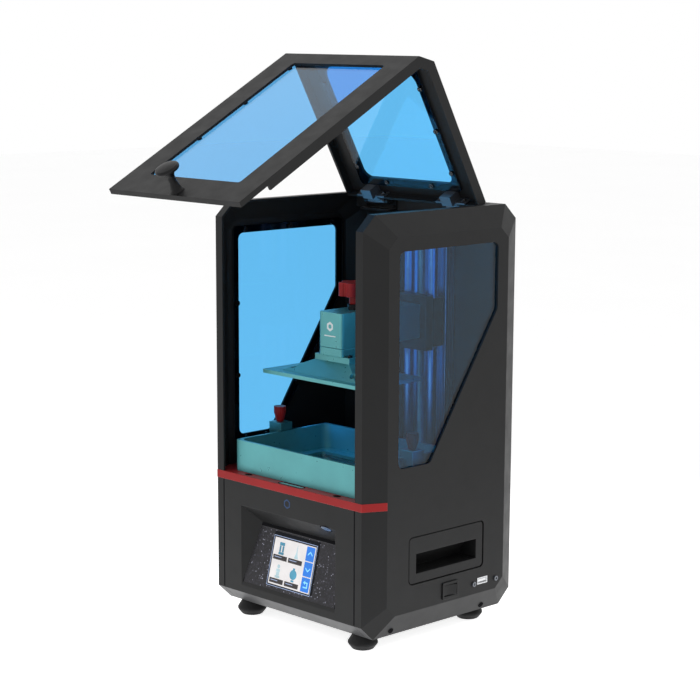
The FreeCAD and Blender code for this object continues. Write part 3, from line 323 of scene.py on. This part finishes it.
MATERIALS = {
    "case": moulded("case_plastic", CHARCOAL),
    # Each _edge copy, and red_rim, goes on rounded edges and is lighter: edge wear with a painted sheen.
    "case_edge": moulded("case_plastic_edge", CHARCOAL, rough=0.34, wear_and_sheen=1.15),
    # Paler copies of the case plastic for the slanted faces round the foot, palest at the front: painted
    # reflection of the bright floor.
    "case_foot_painted_reflection": moulded("case_plastic_foot_painted_reflection", shade(CHARCOAL, 2.3), rough=0.38),
    "case_foot_front_painted_reflection": moulded("case_plastic_foot_front_painted_reflection", shade(CHARCOAL, 7.5), rough=0.38),
    "cover": moulded("cover_plastic", CHARCOAL, rough=0.46),
    "cover_edge": moulded("cover_plastic_edge", CHARCOAL, rough=0.36, wear_and_sheen=1.2),
    "sheet": powder_coat("case_sheet_metal", shade(CHARCOAL, 0.9)),
    "sheet_edge": powder_coat("case_sheet_metal_edge", shade(CHARCOAL, 1.3), 0.38),
    "red_deck": powder_coat("red_deck_coat", RED, 0.4),
    "red_edge": powder_coat("red_deck_coat_edge", shade(RED, 1.25), 0.34),
    "red": moulded("red_plastic", RED, rough=0.34, depth=0.01, gloss=0.14),
    "red_rim": moulded("red_plastic_edge", RED, rough=0.28, depth=0.01, wear_and_sheen=1.2, gloss=0.2),
    "teal": anodised("teal_anodised", TEAL, rough=0.33, metal=0.6),
    # A darker copy of the teal: painted shade on the vat clamps.
    "teal_painted_shade": anodised("teal_anodised_painted_shade", shade(TEAL, 0.6), rough=0.33, metal=0.6),
    "teal_edge": anodised("teal_anodised_edge", TEAL, rough=0.3, wear_and_sheen=1.25),
    "black_ano": anodised("black_anodised", (0.012, 0.0125, 0.014), rough=0.36, metal=0.6),
    "black_ano_edge": anodised("black_anodised_edge", (0.03, 0.031, 0.034), rough=0.3, metal=0.6),
    "aluminium": brushed("aluminium_drawn", (0.62, 0.63, 0.65), "Z"),
    # The column's drawn aluminium is painted blue, brighter on its edges: painted reflection of the blue
    # light inside the windows.
    "column": brushed("column_drawn_painted_blue_reflection", (0.38, 0.44, 0.66), "Z"),
    "column_edge": brushed("column_drawn_edge_painted_blue_reflection", (0.52, 0.58, 0.78), "Z", 0.22),
    "aluminium_edge": brushed("aluminium_edge", (0.75, 0.76, 0.78), "Z", 0.22),
    "steel": brushed("steel_ground", STEEL, "X", 0.26),
    "screw_steel": turned_metal("steel_turned", STEEL, "Z"),
    # The polished rods are painted blue: painted reflection of the blue light inside the windows.
    "rod_steel": turned_metal("steel_polished_painted_blue_reflection", (0.34, 0.39, 0.64), "Z", 0.24),
    "brass": turned_metal("brass_turned", (0.62, 0.42, 0.14), "Z"),
    "black_screws": black_oxide("steel_black_oxide"),
    "black": moulded("black_plastic", BLACK, rough=0.38),
    "black_edge": moulded("black_plastic_edge", BLACK, rough=0.3, wear_and_sheen=1.8),
    "rubber": rubber("foot_rubber"),
    "acrylic": acrylic("blue_acrylic", ACRYLIC),
    "acrylic_door": acrylic("blue_acrylic_door", DOOR_ACRYLIC),
    # Dark copy for the narrow sides and rounded edges of the windows: a painted shadow gap round each sheet.
    "window_edge_shadow": moulded("window_edge_painted_shadow", (0.01, 0.012, 0.016), rough=0.6, gloss=0.1),
    "film": acrylic("clear_film", (0.72, 0.80, 0.84), 0.05),
    "panel": speckled_panel("printed_panel"),
    "glass": gloss_black("display_glass"),
    "board": circuit_board("circuit_board"),
    "screen": lit("screen_white", (0.58, 0.56, 0.56), 0.36),
    "button": lit("screen_blue", (0.006, 0.13, 0.50), 0.55),
    "icon": lit("screen_pale_blue", (0.20, 0.55, 0.90), 0.5),
    "figure": lit("screen_teal", (0.05, 0.22, 0.33), 0.35, 0.3),
    "faint": lit("screen_pale_teal", (0.30, 0.42, 0.46), 0.42, 0.2),
    "label": lit("screen_dark", (0.018, 0.014, 0.014), 0.05),
    "outline": lit("screen_outline", (0.30, 0.38, 0.58), 0.2),
    "ink": moulded("blue_ink", (0.02, 0.05, 0.13), rough=0.3),
    "white_ink": moulded("white_ink", (0.62, 0.66, 0.66), rough=0.4),
    "socket_insert": moulded("white_plastic", (0.70, 0.71, 0.72), rough=0.4, depth=0.005, gloss=0.5),
    "hinge": anodised("hinge_anodised", (0.16, 0.17, 0.19), rough=0.34, metal=0.8),
    "hinge_edge": anodised("hinge_anodised_edge", (0.32, 0.34, 0.37), rough=0.3, metal=0.8),
    # Dead black without sheen: painted shadow in the seam and gap lines and on the screws in the foot bevel;
    # also the black magnet surround, door buffers and lens rim.
    "black_and_painted_shadow": moulded("flat_black_and_painted_shadow", (0.009, 0.009, 0.010), rough=0.9, gloss=0.0),
    "bezel": moulded("screen_bezel", (0.006, 0.007, 0.010), rough=0.6, gloss=0.1),
    "lens": moulded("status_lens", (0.04, 0.075, 0.13), rough=0.2, gloss=0.6, depth=0.004),
    # Grey line near the display panel's top edge: a painted highlight.
    "rim": moulded("panel_painted_highlight", (0.05, 0.05, 0.055), rough=0.35),
}


# ---------------------------------------------------------------- pieces made from the frame
WELD = 0.002 * MM
SAME_PLANE = math.radians(0.6)
SHARP = math.radians(28)          # edges sharper than this are rounded
CASE_SHARP = math.radians(11)     # lower, for the shallow bevels of the case and cover


def piece(name, mesh, body, materials, replaces=()):
    """Links a mesh as a piece that rides on a body, with its materials."""
    obj = bpy.data.objects.new(name, mesh)
    bpy.context.scene.collection.objects.link(obj)
    for key in materials:
        mesh.materials.append(MATERIALS[key])
    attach(obj, body)
    if replaces:
        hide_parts(*replaces)
    return obj


def welded(node):
    """A CAD node's mesh with its triangles joined into whole faces."""
    bm = bmesh.new()
    bm.from_mesh(CADS[node].data)
    bmesh.ops.remove_doubles(bm, verts=bm.verts, dist=WELD)
    bmesh.ops.dissolve_limit(bm, angle_limit=SAME_PLANE, verts=bm.verts, edges=bm.edges)
    return bm


def smooth(bm, limit=SHARP):
    """Smooth faces, with the edges sharper than the limit kept sharp."""
    for face in bm.faces:
        face.smooth = True
        face.material_index = 0
    for edge in bm.edges:
        edge.smooth = len(edge.link_faces) == 2 and edge.calc_face_angle(0.0) < limit


def soften(obj, width, segments, limit):
    """Rounds the sharp edges of a piece by a width in millimetres."""
    bevel = obj.modifiers.new("Rounded edges", "BEVEL")
    bevel.width = width * MM
    bevel.segments = segments
    bevel.limit_method = "ANGLE"
    bevel.angle_limit = limit
    bevel.use_clamp_overlap = True
    bevel.harden_normals = False
    # The rounded edges take the second material; for most pieces that is a lighter copy, edge wear with a
    # painted sheen.
    if len(obj.data.materials) > 1:
        bevel.material = 1
    normals = obj.modifiers.new("Even normals", "WEIGHTED_NORMAL")
    normals.keep_sharp = True


def dressed(node, keys, width=0.4, segments=2, choose=None, limit=SHARP):
    """A detailed piece that stands for a CAD node: its welded faces, rounded edges and finish.

    keys are the finishes of its faces, of its rounded edges, and of faces that choose picks out.
    """
    bm = welded(node)
    smooth(bm, limit)
    if choose:
        for face in bm.faces:
            face.material_index = choose(face, face.calc_center_median())
    mesh = bpy.data.meshes.new(node + "_finished")
    bm.to_mesh(mesh)
    bm.free()
    keys = (keys,) if isinstance(keys, str) else keys
    obj = piece(node + "_finished", mesh, BODY_OF[node], keys, (node,))
    if width:
        soften(obj, width, segments, limit)
    return obj


# Each node with the width of its rounded edges, in millimetres.
CASE_PARTS = {"side_panel_right": 0.9, "side_panel_left": 0.9, "handle_cups": 0.4, "front_fascia": 0.6}
SHEET_PARTS = {"back_panel": 0.4, "bottom_plate": 0.3, "top_beam": 0.5}
TEAL_PARTS = {"arm": 1.4, "platform_head": 0.6, "platform_block": 0.5, "build_plate": 0.5, "vat_body": 0.8}
BLACK_METAL_PARTS = {"lamp_funnel": 0.3, "motor_bracket": 0.3, "rod_brackets": 0.4, "carriage": 0.6,
                     "hinge_leaf_body": 0.3, "lift_motor": 0.5}
BLACK_PLASTIC_PARTS = {"power_socket": 0.3, "fan_frames": 0.4,
                       "lamp_fan_rotor": 0.15, "exhaust_fan_rotor": 0.15, "board_parts": 0.2,
                       "masking_display": 0.1, "cover_knob": 0.5}
SCREW_PARTS = ("inner_screws", "platform_screws")
ALUMINIUM_PARTS = {"lamp_cooler": 0.2, "lamp_board": 0.1, "motor_coupler": 0.4}
FOOT_TOP = 40 * MM                # the foot bevels end below this height


def foot_bevel(face, centre):
    """The slanted faces round the foot of the body are painted a paler grey, most of all at the front:
    painted reflection of the bright floor.
    """
    slanted = centre.z < FOOT_TOP and -0.98 < face.normal.z < -0.3
    at_front = face.normal.y < -0.3
    return 0 if not slanted else 2 if at_front else 3


def bezel_sides(face, centre):
    """The front and top faces of the switch surround are painted black: a painted shadow line round the
    switch.
    """
    return 2 if face.normal.y < -0.7 or face.normal.z > 0.7 else 0


def port_insert(face, centre):
    """The pale lining and tongue inside the port."""
    low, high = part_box("usb_port")
    wall = 0.3 * MM
    inside = low.y + wall < centre.y < high.y - wall and low.z + wall < centre.z < high.z - wall
    return 2 if inside and centre.x < high.x - 0.1 * MM else 0


def sheet_edges(out):
    """Picks out the narrow sides of a clear sheet that faces one way; they are painted dark: a painted shadow
    gap round the sheet.
    """
    return lambda face, centre: 0 if abs(face.normal.dot(out)) > 0.7 else 1


def bright_screws(face, centre):
    """Grey metal for the two beside the port; dead black painted shade for those in the foot bevel, as dark
    notches.
    """
    beside_port = centre.x > 106 * MM and centre.y > 30 * MM and 40 * MM < centre.z < 50 * MM
    in_bevel = centre.z < 30 * MM and abs(centre.x) > 95 * MM
    return 2 if beside_port else 3 if in_bevel else 0


def dress_case():
    for node, width in CASE_PARTS.items():
        dressed(node, ("case", "case_edge", "case_foot_front_painted_reflection", "case_foot_painted_reflection"), width, 3, foot_bevel, CASE_SHARP)
    dressed("switch_bezel", ("case", "case_edge", "black"), 0.3, 2, bezel_sides)
    dressed("power_rocker", ("case", "case_edge"), 0.4)
    for node, width in SHEET_PARTS.items():
        dressed(node, ("sheet", "sheet_edge"), width)
    dressed("cover_frame", ("cover", "cover_edge"), 0.5, 3, limit=CASE_SHARP)
    dressed("front_trim", ("red", "red_rim"), 0.5, 3, limit=CASE_SHARP)
    dressed("deck_plate", ("red_deck", "red_edge"), 0.3)
    dressed("feet", "rubber", 0.8, 3)


def dress_metal():
    for node, width in TEAL_PARTS.items():
        dressed(node, ("teal", "teal_edge"), width, 3)
    for node, width in BLACK_METAL_PARTS.items():
        dressed(node, ("black_ano", "black_ano_edge"), width)
    for node, width in ALUMINIUM_PARTS.items():
        dressed(node, ("aluminium", "aluminium_edge"), width)
    dressed("vat_clamps", ("teal_painted_shade", "teal"), 0.5, 3)
    dressed("column", ("column", "column_edge"), 0.4)
    dressed("guide_rods", "rod_steel", 0.5)
    dressed("platform_stud", "black_screws", 0.3)
    dressed("film_frame", "steel", 0.2)
    dressed("door_magnet", "steel", 0.2)
    dressed("usb_port", ("steel", "aluminium_edge", "socket_insert"), 0.15, 2, port_insert)
    dressed("hinge_leaf_cover", ("hinge", "hinge_edge"), 0.4)
    dressed("cover_screws", ("black_screws", "screw_steel"), 0.2)
    dressed("case_screws", ("black_screws", "black_screws", "hinge", "black_and_painted_shadow"), 0.2, 2, bright_screws)
    dressed("drive_nut", "brass", 0.3)
    for node in SCREW_PARTS:
        dressed(node, "black_screws", 0.2)


def dress_plastic():
    for node, width in BLACK_PLASTIC_PARTS.items():
        dressed(node, ("black", "black_edge"), width)
    for node in ("platform_knob", "vat_screw_left", "vat_screw_right"):
        dressed(node, ("red", "red_rim"), 0.45, 3)
    for node in ("main_board", "display_board"):
        dressed(node, "board", 0.1)
    dressed("display_panel", "panel", 0.2)
    dressed("touch_screen", "bezel", 0.1)
    dressed("display_glass", "glass", 0.3)


def dress_windows():
    sheets = (("side_windows", "acrylic"), ("door_window", "acrylic_door"), ("lid_window", "acrylic"))
    for node, key in sheets:
        out = max(CADS[node].data.polygons, key=lambda p: p.area).normal.copy()
        dressed(node, (key, "window_edge_shadow"), 0.3, 2, sheet_edges(out))
    dressed("vat_film", "film", 0.05)


# ---------------------------------------------------------------- lead screw thread
THREAD_STARTS = 4
THREAD_LEAD = 8 * MM
THREAD_DEPTH = 0.9 * MM
PLAIN_END = 6 * MM
RUN_OUT = 2 * MM


def lead_screw():
    """Four-start trapezoidal thread, cut into the rod between two plain ends."""
    low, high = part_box("lead_screw")
    middle = (low + high) / 2
    outer = (high.x - low.x) / 2
    around, step = 32, 0.4 * MM
    rows = int((high.z - low.z) / step)
    bm = bmesh.new()
    previous = None
    for row in range(rows + 1):
        z = low.z + (high.z - low.z) * row / rows
        fade = min(1.0, max(0.0, (min(z - low.z, high.z - z) - PLAIN_END) / RUN_OUT))
        current = []
        for k in range(around):
            angle = 2 * math.pi * k / around
            turn = (z / THREAD_LEAD - angle / (2 * math.pi)) * THREAD_STARTS % 1.0
            wave = abs(turn - 0.5) * 2
            cut = min(1.0, max(0.0, (wave - 0.32) / 0.36))
            radius = outer - THREAD_DEPTH * cut * fade
            current.append(bm.verts.new((middle.x + radius * math.cos(angle),
                                         middle.y + radius * math.sin(angle), z)))
        if previous:
            for k in range(around):
                following = (k + 1) % around
                bm.faces.new((previous[k], previous[following], current[following], current[k]))
        else:
            bm.faces.new(current[::-1])
        previous = current
    bm.faces.new(previous)
    bmesh.ops.recalc_face_normals(bm, faces=bm.faces)
    smooth(bm, math.radians(50))
    mesh = bpy.data.meshes.new("lead_screw_thread")
    bm.to_mesh(mesh)
    bm.free()
    piece("lead_screw_thread", mesh, "screw", ("screw_steel",), ("lead_screw",))


# ---------------------------------------------------------------- flat shapes on a face, in millimetres
def disc(x, y, radius, count=28, start=0.0):
    return [(x + radius * math.cos(start + 2 * math.pi * i / count),
             y + radius * math.sin(start + 2 * math.pi * i / count)) for i in range(count)]


def oval(x, y, half_x, half_y, count=32):
    return [(x + half_x * math.cos(2 * math.pi * i / count), y + half_y * math.sin(2 * math.pi * i / count))
            for i in range(count)]


def tile(x0, y0, x1, y1, radius=0.0):
    """Rectangle with rounded corners, anticlockwise."""
    if radius == 0:
        return [(x0, y0), (x1, y0), (x1, y1), (x0, y1)]
    points = []
    corners = ((x1 - radius, y1 - radius), (x0 + radius, y1 - radius), (x0 + radius, y0 + radius),
               (x1 - radius, y0 + radius))
    for quarter, (x, y) in enumerate(corners):
        for i in range(5):
            angle = math.pi / 2 * (quarter + i / 4)
            points.append((x + radius * math.cos(angle), y + radius * math.sin(angle)))
    return points


def flat(name, outlines, place, low, high, key, body, hole=None):
    """Thin plates with the given outlines, from low to high above a face.

    hole is the size of an opening in each, as shares of its outline across and up.
    """
    bm = bmesh.new()
    for points in outlines:
        bottom = [bm.verts.new((x * MM, y * MM, low * MM)) for x, y in points]
        top = [bm.verts.new((x * MM, y * MM, high * MM)) for x, y in points]
        if hole:
            inner_low = [bm.verts.new((x * MM * hole[0], y * MM * hole[1], low * MM)) for x, y in points]
            inner_top = [bm.verts.new((x * MM * hole[0], y * MM * hole[1], high * MM)) for x, y in points]
        count = len(points)
        for i in range(count):
            j = (i + 1) % count
            bm.faces.new((bottom[i], bottom[j], top[j], top[i]))
            if hole:
                bm.faces.new((top[i], top[j], inner_top[j], inner_top[i]))
                bm.faces.new((inner_top[i], inner_top[j], inner_low[j], inner_low[i]))
                bm.faces.new((inner_low[i], inner_low[j], bottom[j], bottom[i]))
        if not hole:
            bm.faces.new(top)
            bm.faces.new(bottom[::-1])
    bmesh.ops.recalc_face_normals(bm, faces=bm.faces)
    bmesh.ops.transform(bm, matrix=place, verts=bm.verts)
    mesh = bpy.data.meshes.new(name)
    bm.to_mesh(mesh)
    bm.free()
    return piece(name, mesh, body, (key,))


def facing_front(y, z):
    """Matrix with its origin on the middle plane, X across, Y up and Z out to the front."""
    matrix = Matrix(((1, 0, 0), (0, 0, -1), (0, 1, 0))).to_4x4()
    matrix.translation = (0, y, z)
    return matrix


def face_frame(node, towards):
    """Matrix with its origin at the middle of a node's largest face towards a direction, X across, Z out."""
    best = max((p for p in CADS[node].data.polygons if p.normal.dot(towards) > 0.6), key=lambda p: p.area)
    out = best.normal.copy()
    level = best.center.dot(out)
    spots = [v.co for v in CADS[node].data.vertices if abs(v.co.dot(out) - level) < 0.02 * MM]
    middle = Vector([(min(s[i] for s in spots) + max(s[i] for s in spots)) / 2 for i in range(3)])
    across = Vector((0, 0, 1)).cross(out).normalized()
    up = out.cross(across)
    matrix = Matrix((across, up, out)).transposed().to_4x4()
    matrix.translation = middle
    return matrix


# ---------------------------------------------------------------- what the touch screen shows
def screen_page():
    """A generic page: four pictures with their label bars, and three buttons down the right.

    It lights most of the glass, and leaves a dark border that is widest at the top.
    """
    place = (face_frame("touch_screen", Vector((0, -1, 0))) @ Matrix.Translation((-1.0 * MM, -2.4 * MM, 0))
             @ Matrix.Diagonal((0.913, 0.90, 1.0, 1.0)))
    low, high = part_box("touch_screen")
    half_w = (high.x - low.x) / 2 / MM
    half_h = (high.z - low.z) / 2 / MM

    def show(name, outlines, key, level, hole=None):
        """Each level stands 0.04 mm over the one below."""
        flat(name, outlines, place, 0.01, 0.03 + 0.04 * level, key, "case", hole)

    show("screen_bezel", [tile(-half_w - 2.2, -half_h - 2.2, half_w + 1.6, half_h + 2.2)], "bezel", 0)
    show("screen_outline", [tile(-half_w - 2.0, -half_h - 2.0, half_w + 1.4, half_h + 2.0)], "outline", 1,
         (1 - 0.55 / half_w, 1 - 0.55 / half_h))
    show("screen_page", [tile(-half_w, -half_h, half_w, half_h)], "screen", 1)
    bar_wide, bar_high = half_w * 0.67, 5.0
    bars = [(x, y) for x in (-half_w + 1.2, -half_w + 24.0) for y in (-half_h + 1.5, 1.6)]
    show("screen_labels", [tile(x, y, x + bar_wide, y + bar_high, 0.4) for x, y in bars], "label", 2)
    show("screen_label_lines", [tile(x + 2.0, y + 2.6, x + 12.5, y + 3.3) for x, y in bars], "outline", 3)
    left, right = -half_w + 12.0, -half_w + 35.0
    low_y, high_y = -half_h + 7.4, 7.4
    arch = [tile(left - 4.0, high_y, left + 4.0, high_y + 2.6, 0.4),
            tile(left - 3.4, high_y + 2.8, left - 0.9, high_y + 9.4, 0.3),
            tile(left + 0.9, high_y + 2.8, left + 3.4, high_y + 9.4, 0.3),
            tile(left - 3.8, high_y + 9.6, left + 3.8, high_y + 13.0, 0.6)]
    vase = [tile(right - 2.2, low_y, right + 2.2, low_y + 2.0, 0.4), disc(right, low_y + 7.6, 5.2),
            tile(right - 1.6, low_y + 12.6, right + 1.6, low_y + 14.6, 0.4)]
    show("screen_pictures", arch + vase, "figure", 2)
    tower = [tile(left - 3.6, low_y, left + 3.6, low_y + 2.4, 0.5),
             tile(left - 2.2, low_y + 2.6, left + 2.2, low_y + 6.4, 0.6),
             tile(left - 2.8, low_y + 6.6, left + 2.8, low_y + 9.6, 0.8), disc(left, low_y + 12.2, 2.1)]
    spire = [[(right - 3.0, high_y), (right + 3.0, high_y), (right + 0.9, high_y + 6.0),
              (right + 0.2, high_y + 14.0), (right - 0.2, high_y + 14.0), (right - 0.9, high_y + 6.0)]]
    show("screen_pale_pictures", tower + spire, "faint", 2)
    width, gap = 12.2, 1.0
    x0 = half_w - width - 1.2
    each = (2 * half_h - 4 * gap) / 3
    rows = [-half_h + gap + i * (each + gap) for i in range(3)]
    show("screen_buttons", [tile(x0, y, x0 + width, y + each, 0.8) for y in rows], "button", 2)
    mid = x0 + width / 2
    arrows = []
    for y, up in ((rows[2] + each / 2, 1), (rows[1] + each / 2, -1)):
        arrows.append([(mid - 3.4, y - 1.9 * up), (mid, y + 1.3 * up), (mid + 3.4, y - 1.9 * up),
                       (mid + 3.4, y - 0.4 * up), (mid, y + 2.8 * up), (mid - 3.4, y - 0.4 * up)])
    y = rows[0] + each / 2
    arrows.append([(mid - 3.2, y + 2.2), (mid - 0.6, y + 4.4), (mid - 0.6, y + 2.9), (mid + 3.3, y + 2.9),
                   (mid + 3.3, y - 3.4), (mid - 2.8, y - 3.4), (mid - 2.8, y - 2.1), (mid + 2.0, y - 2.1),
                   (mid + 2.0, y + 1.6), (mid - 0.6, y + 1.6), (mid - 0.6, y)])
    show("screen_arrows", arrows, "icon", 3)


def seams():
    """Painted shadow lines between the fascia and the side panels and round the display panel, and a painted
    highlight line near the display panel's top.
    """
    low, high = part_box("front_fascia")
    place = facing_front(low.y, 0.0)
    edge = high.x / MM + 0.15
    foot, trim_low = 29.0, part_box("front_trim")[0].z / MM
    lines = [tile(x - 0.75, foot, x + 0.75, trim_low) for x in (-edge, edge)]
    flat("fascia_seam_shadows", lines, place, 0.01, 0.03, "black_and_painted_shadow", "case")
    place = face_frame("display_panel", Vector((0, -1, 0)))
    low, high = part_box("display_panel")
    top = math.hypot(high.z - low.z, high.y - low.y) / 2 / MM
    # A thin painted highlight line near the panel's top edge.
    flat("display_panel_painted_highlight", [tile(-50.0, top - 4.2, 50.0, top - 3.7)], place, 0.01, 0.05, "rim", "case")
    side = high.x / MM
    gaps = [tile(-side, top - 3.6, side, top - 0.5), tile(side - 1.1, -top, side, top - 3.7),
            tile(-side, -top, -side + 1.1, top - 3.7)]
    flat("display_panel_gap_shadows", gaps, place, 0.01, 0.05, "black_and_painted_shadow", "case")


def deck_details():
    """On the deck, a black surround for the magnet strip and two oval rubber buffers for the door."""
    low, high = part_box("door_magnet")
    middle = (low + high) / 2
    half_x, half_y = (high.x - low.x) / 2 / MM, (high.y - low.y) / 2 / MM
    rim = 1.3
    place = Matrix.Translation((middle.x, middle.y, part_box("deck_plate")[1].z))
    outer = tile(-half_x - rim, -half_y - rim, half_x + rim, half_y + rim, half_y + rim - 0.1)
    flat("magnet_surround", [outer], place, 0.01, 0.12, "black_and_painted_shadow", "case",
         (half_x / (half_x + rim), half_y / (half_y + rim)))
    screw_x, screw_y = 60.7, 0.2
    ovals = [oval(x, screw_y, 4.6, 2.6) for x in (-screw_x, screw_x)]
    flat("door_buffers", ovals, place, 0.03, 0.2, "black_and_painted_shadow", "case")


def status_lens():
    """An oval lens in the ceiling of the display recess, near its right end."""
    ceiling = max((p for p in CADS["front_fascia"].data.polygons
                   if p.normal.z < -0.4 and p.normal.y < -0.4 and p.center.z > 90 * MM), key=lambda p: p.area)
    across, out = Vector((1, 0, 0)), ceiling.normal.copy()
    up = out.cross(across)
    lens_x, lens_y = 50.8 * MM, -98.1 * MM
    spot = ceiling.center + up * ((lens_y - ceiling.center.y) / up.y)
    spot.x = lens_x
    place = Matrix((across, up, out)).transposed().to_4x4()
    place.translation = spot
    flat("status_lens", [oval(0, 0, 6.8, 3.0)], place, 0.04, 0.1, "lens", "case")
    flat("status_lens_rim", [oval(0, 0, 7.8, 4.0)], place, 0.01, 0.03, "black_and_painted_shadow", "case")


def marks():
    """Plain printed marks in place of lettering: an outlined hexagon on the fascia and on the arm."""
    above, below_top, arm_share = 0.01 * MM, 9.5 * MM, 0.60
    low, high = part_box("front_fascia")
    place = facing_front(low.y - above, high.z - below_top)
    hexagon = [disc(0, 0, 4.6, 6, math.pi / 6)]
    flat("fascia_mark", hexagon, place, 0.0, 0.08, "ink", "case", (0.72, 0.72))
    low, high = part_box("arm")
    place = facing_front(low.y - above, low.z + (high.z - low.z) * arm_share)
    flat("arm_mark", hexagon, place, 0.0, 0.08, "white_ink", "lift_carriage", (0.5, 0.5))
    flat("arm_mark_line", [tile(-7.5, -9.4, 7.5, -8.4)], place, 0.0, 0.08, "white_ink", "lift_carriage")


# ---------------------------------------------------------------- floor, lights and camera
AZIMUTH, ELEVATION, ROLL = math.radians(45.58), math.radians(10.77), math.radians(0.31)
DISTANCE = 1.8974
AIM = Vector((0.0, 0.0, 0.2081))
LENS, SENSOR = 102.27, 36.0
SHIFT = (-0.0208, 0.0763)


def camera():
    data = bpy.data.cameras.new("Camera")
    data.lens, data.sensor_width = LENS, SENSOR
    data.shift_x, data.shift_y = SHIFT
    data.clip_end = 20.0
    obj = bpy.data.objects.new("Camera", data)
    bpy.context.scene.collection.objects.link(obj)
    back = Vector((math.sin(AZIMUTH) * math.cos(ELEVATION), -math.cos(AZIMUTH) * math.cos(ELEVATION),
                   math.sin(ELEVATION)))
    obj.matrix_world = (Matrix.Translation(AIM + back * DISTANCE)
                        @ back.to_track_quat("Z", "Y").to_matrix().to_4x4()
                        @ Matrix.Rotation(ROLL, 4, "Z"))
    bpy.context.scene.camera = obj


def floor():
    bm = bmesh.new()
    bmesh.ops.create_grid(bm, x_segments=1, y_segments=1, size=6.0)
    mesh = bpy.data.meshes.new("Floor")
    bm.to_mesh(mesh)
    bm.free()
    obj = bpy.data.objects.new("Floor", mesh)
    obj.location.z = cad_box[0].z
    bpy.context.scene.collection.objects.link(obj)
    t = Tree("floor_paper").set(Roughness=0.9, Specular_IOR_Level=0.1)
    t.shader.inputs["Emission Color"].default_value = (1.0, 1.0, 1.0, 1.0)
    away = t.nodes.new("ShaderNodeVectorMath")
    away.operation = "LENGTH"
    t.links.new(t.place, away.inputs[0])
    # Painted pool of light: the floor glows at 0.8 near the printer and fades to 0.05 by 0.75 m out, so no
    # shadow shows round its foot and its underside is lit.
    near, far = 0.2, 0.75
    t.feed(t.spread(away.outputs["Value"], near, far, 0.8, 0.05), "Emission Strength")
    t.feed(t.blend(t.noise(3.0, 2.0), (0.92, 0.92, 0.92), (0.94, 0.94, 0.94)), "Base Color")
    mesh.materials.append(t.material)


def area_light(name, spot, aim, size, power, colour=(1.0, 1.0, 1.0)):
    data = bpy.data.lights.new(name, "AREA")
    data.shape, data.size, data.energy, data.color = "DISK", size, power, colour
    obj = bpy.data.objects.new(name, data)
    obj.location = spot
    obj.rotation_euler = (Vector(spot) - Vector(aim)).to_track_quat("Z", "Y").to_euler()
    bpy.context.scene.collection.objects.link(obj)
    return obj


def lights():
    world = bpy.data.worlds.new("Studio")
    bpy.context.scene.world = world
    world.use_nodes = True
    background = world.node_tree.nodes["Background"]
    background.inputs["Color"].default_value = (1.0, 1.0, 1.0, 1.0)
    background.inputs["Strength"].default_value = 1.0
    middle = (0.0, 0.0, 0.25)
    area_light("Key", (-1.2, -1.6, 2.2), middle, 1.6, 5.0)
    area_light("Side", (2.4, 1.0, 1.4), middle, 1.4, 4.0)
    glow = area_light("Blue light let in by the windows", (-0.08, -0.01, 0.198), (0.06, 0.03, 0.19),
                      0.06, 0.075, (0.06, 0.38, 1.0))
    glow.visible_camera = glow.visible_transmission = glow.visible_glossy = False
    bpy.context.scene.view_settings.view_transform = "Standard"


camera()
floor()
lights()
dress_case()
dress_metal()
dress_plastic()
dress_windows()
lead_screw()
screen_page()
marks()
seams()
deck_details()
status_lens()
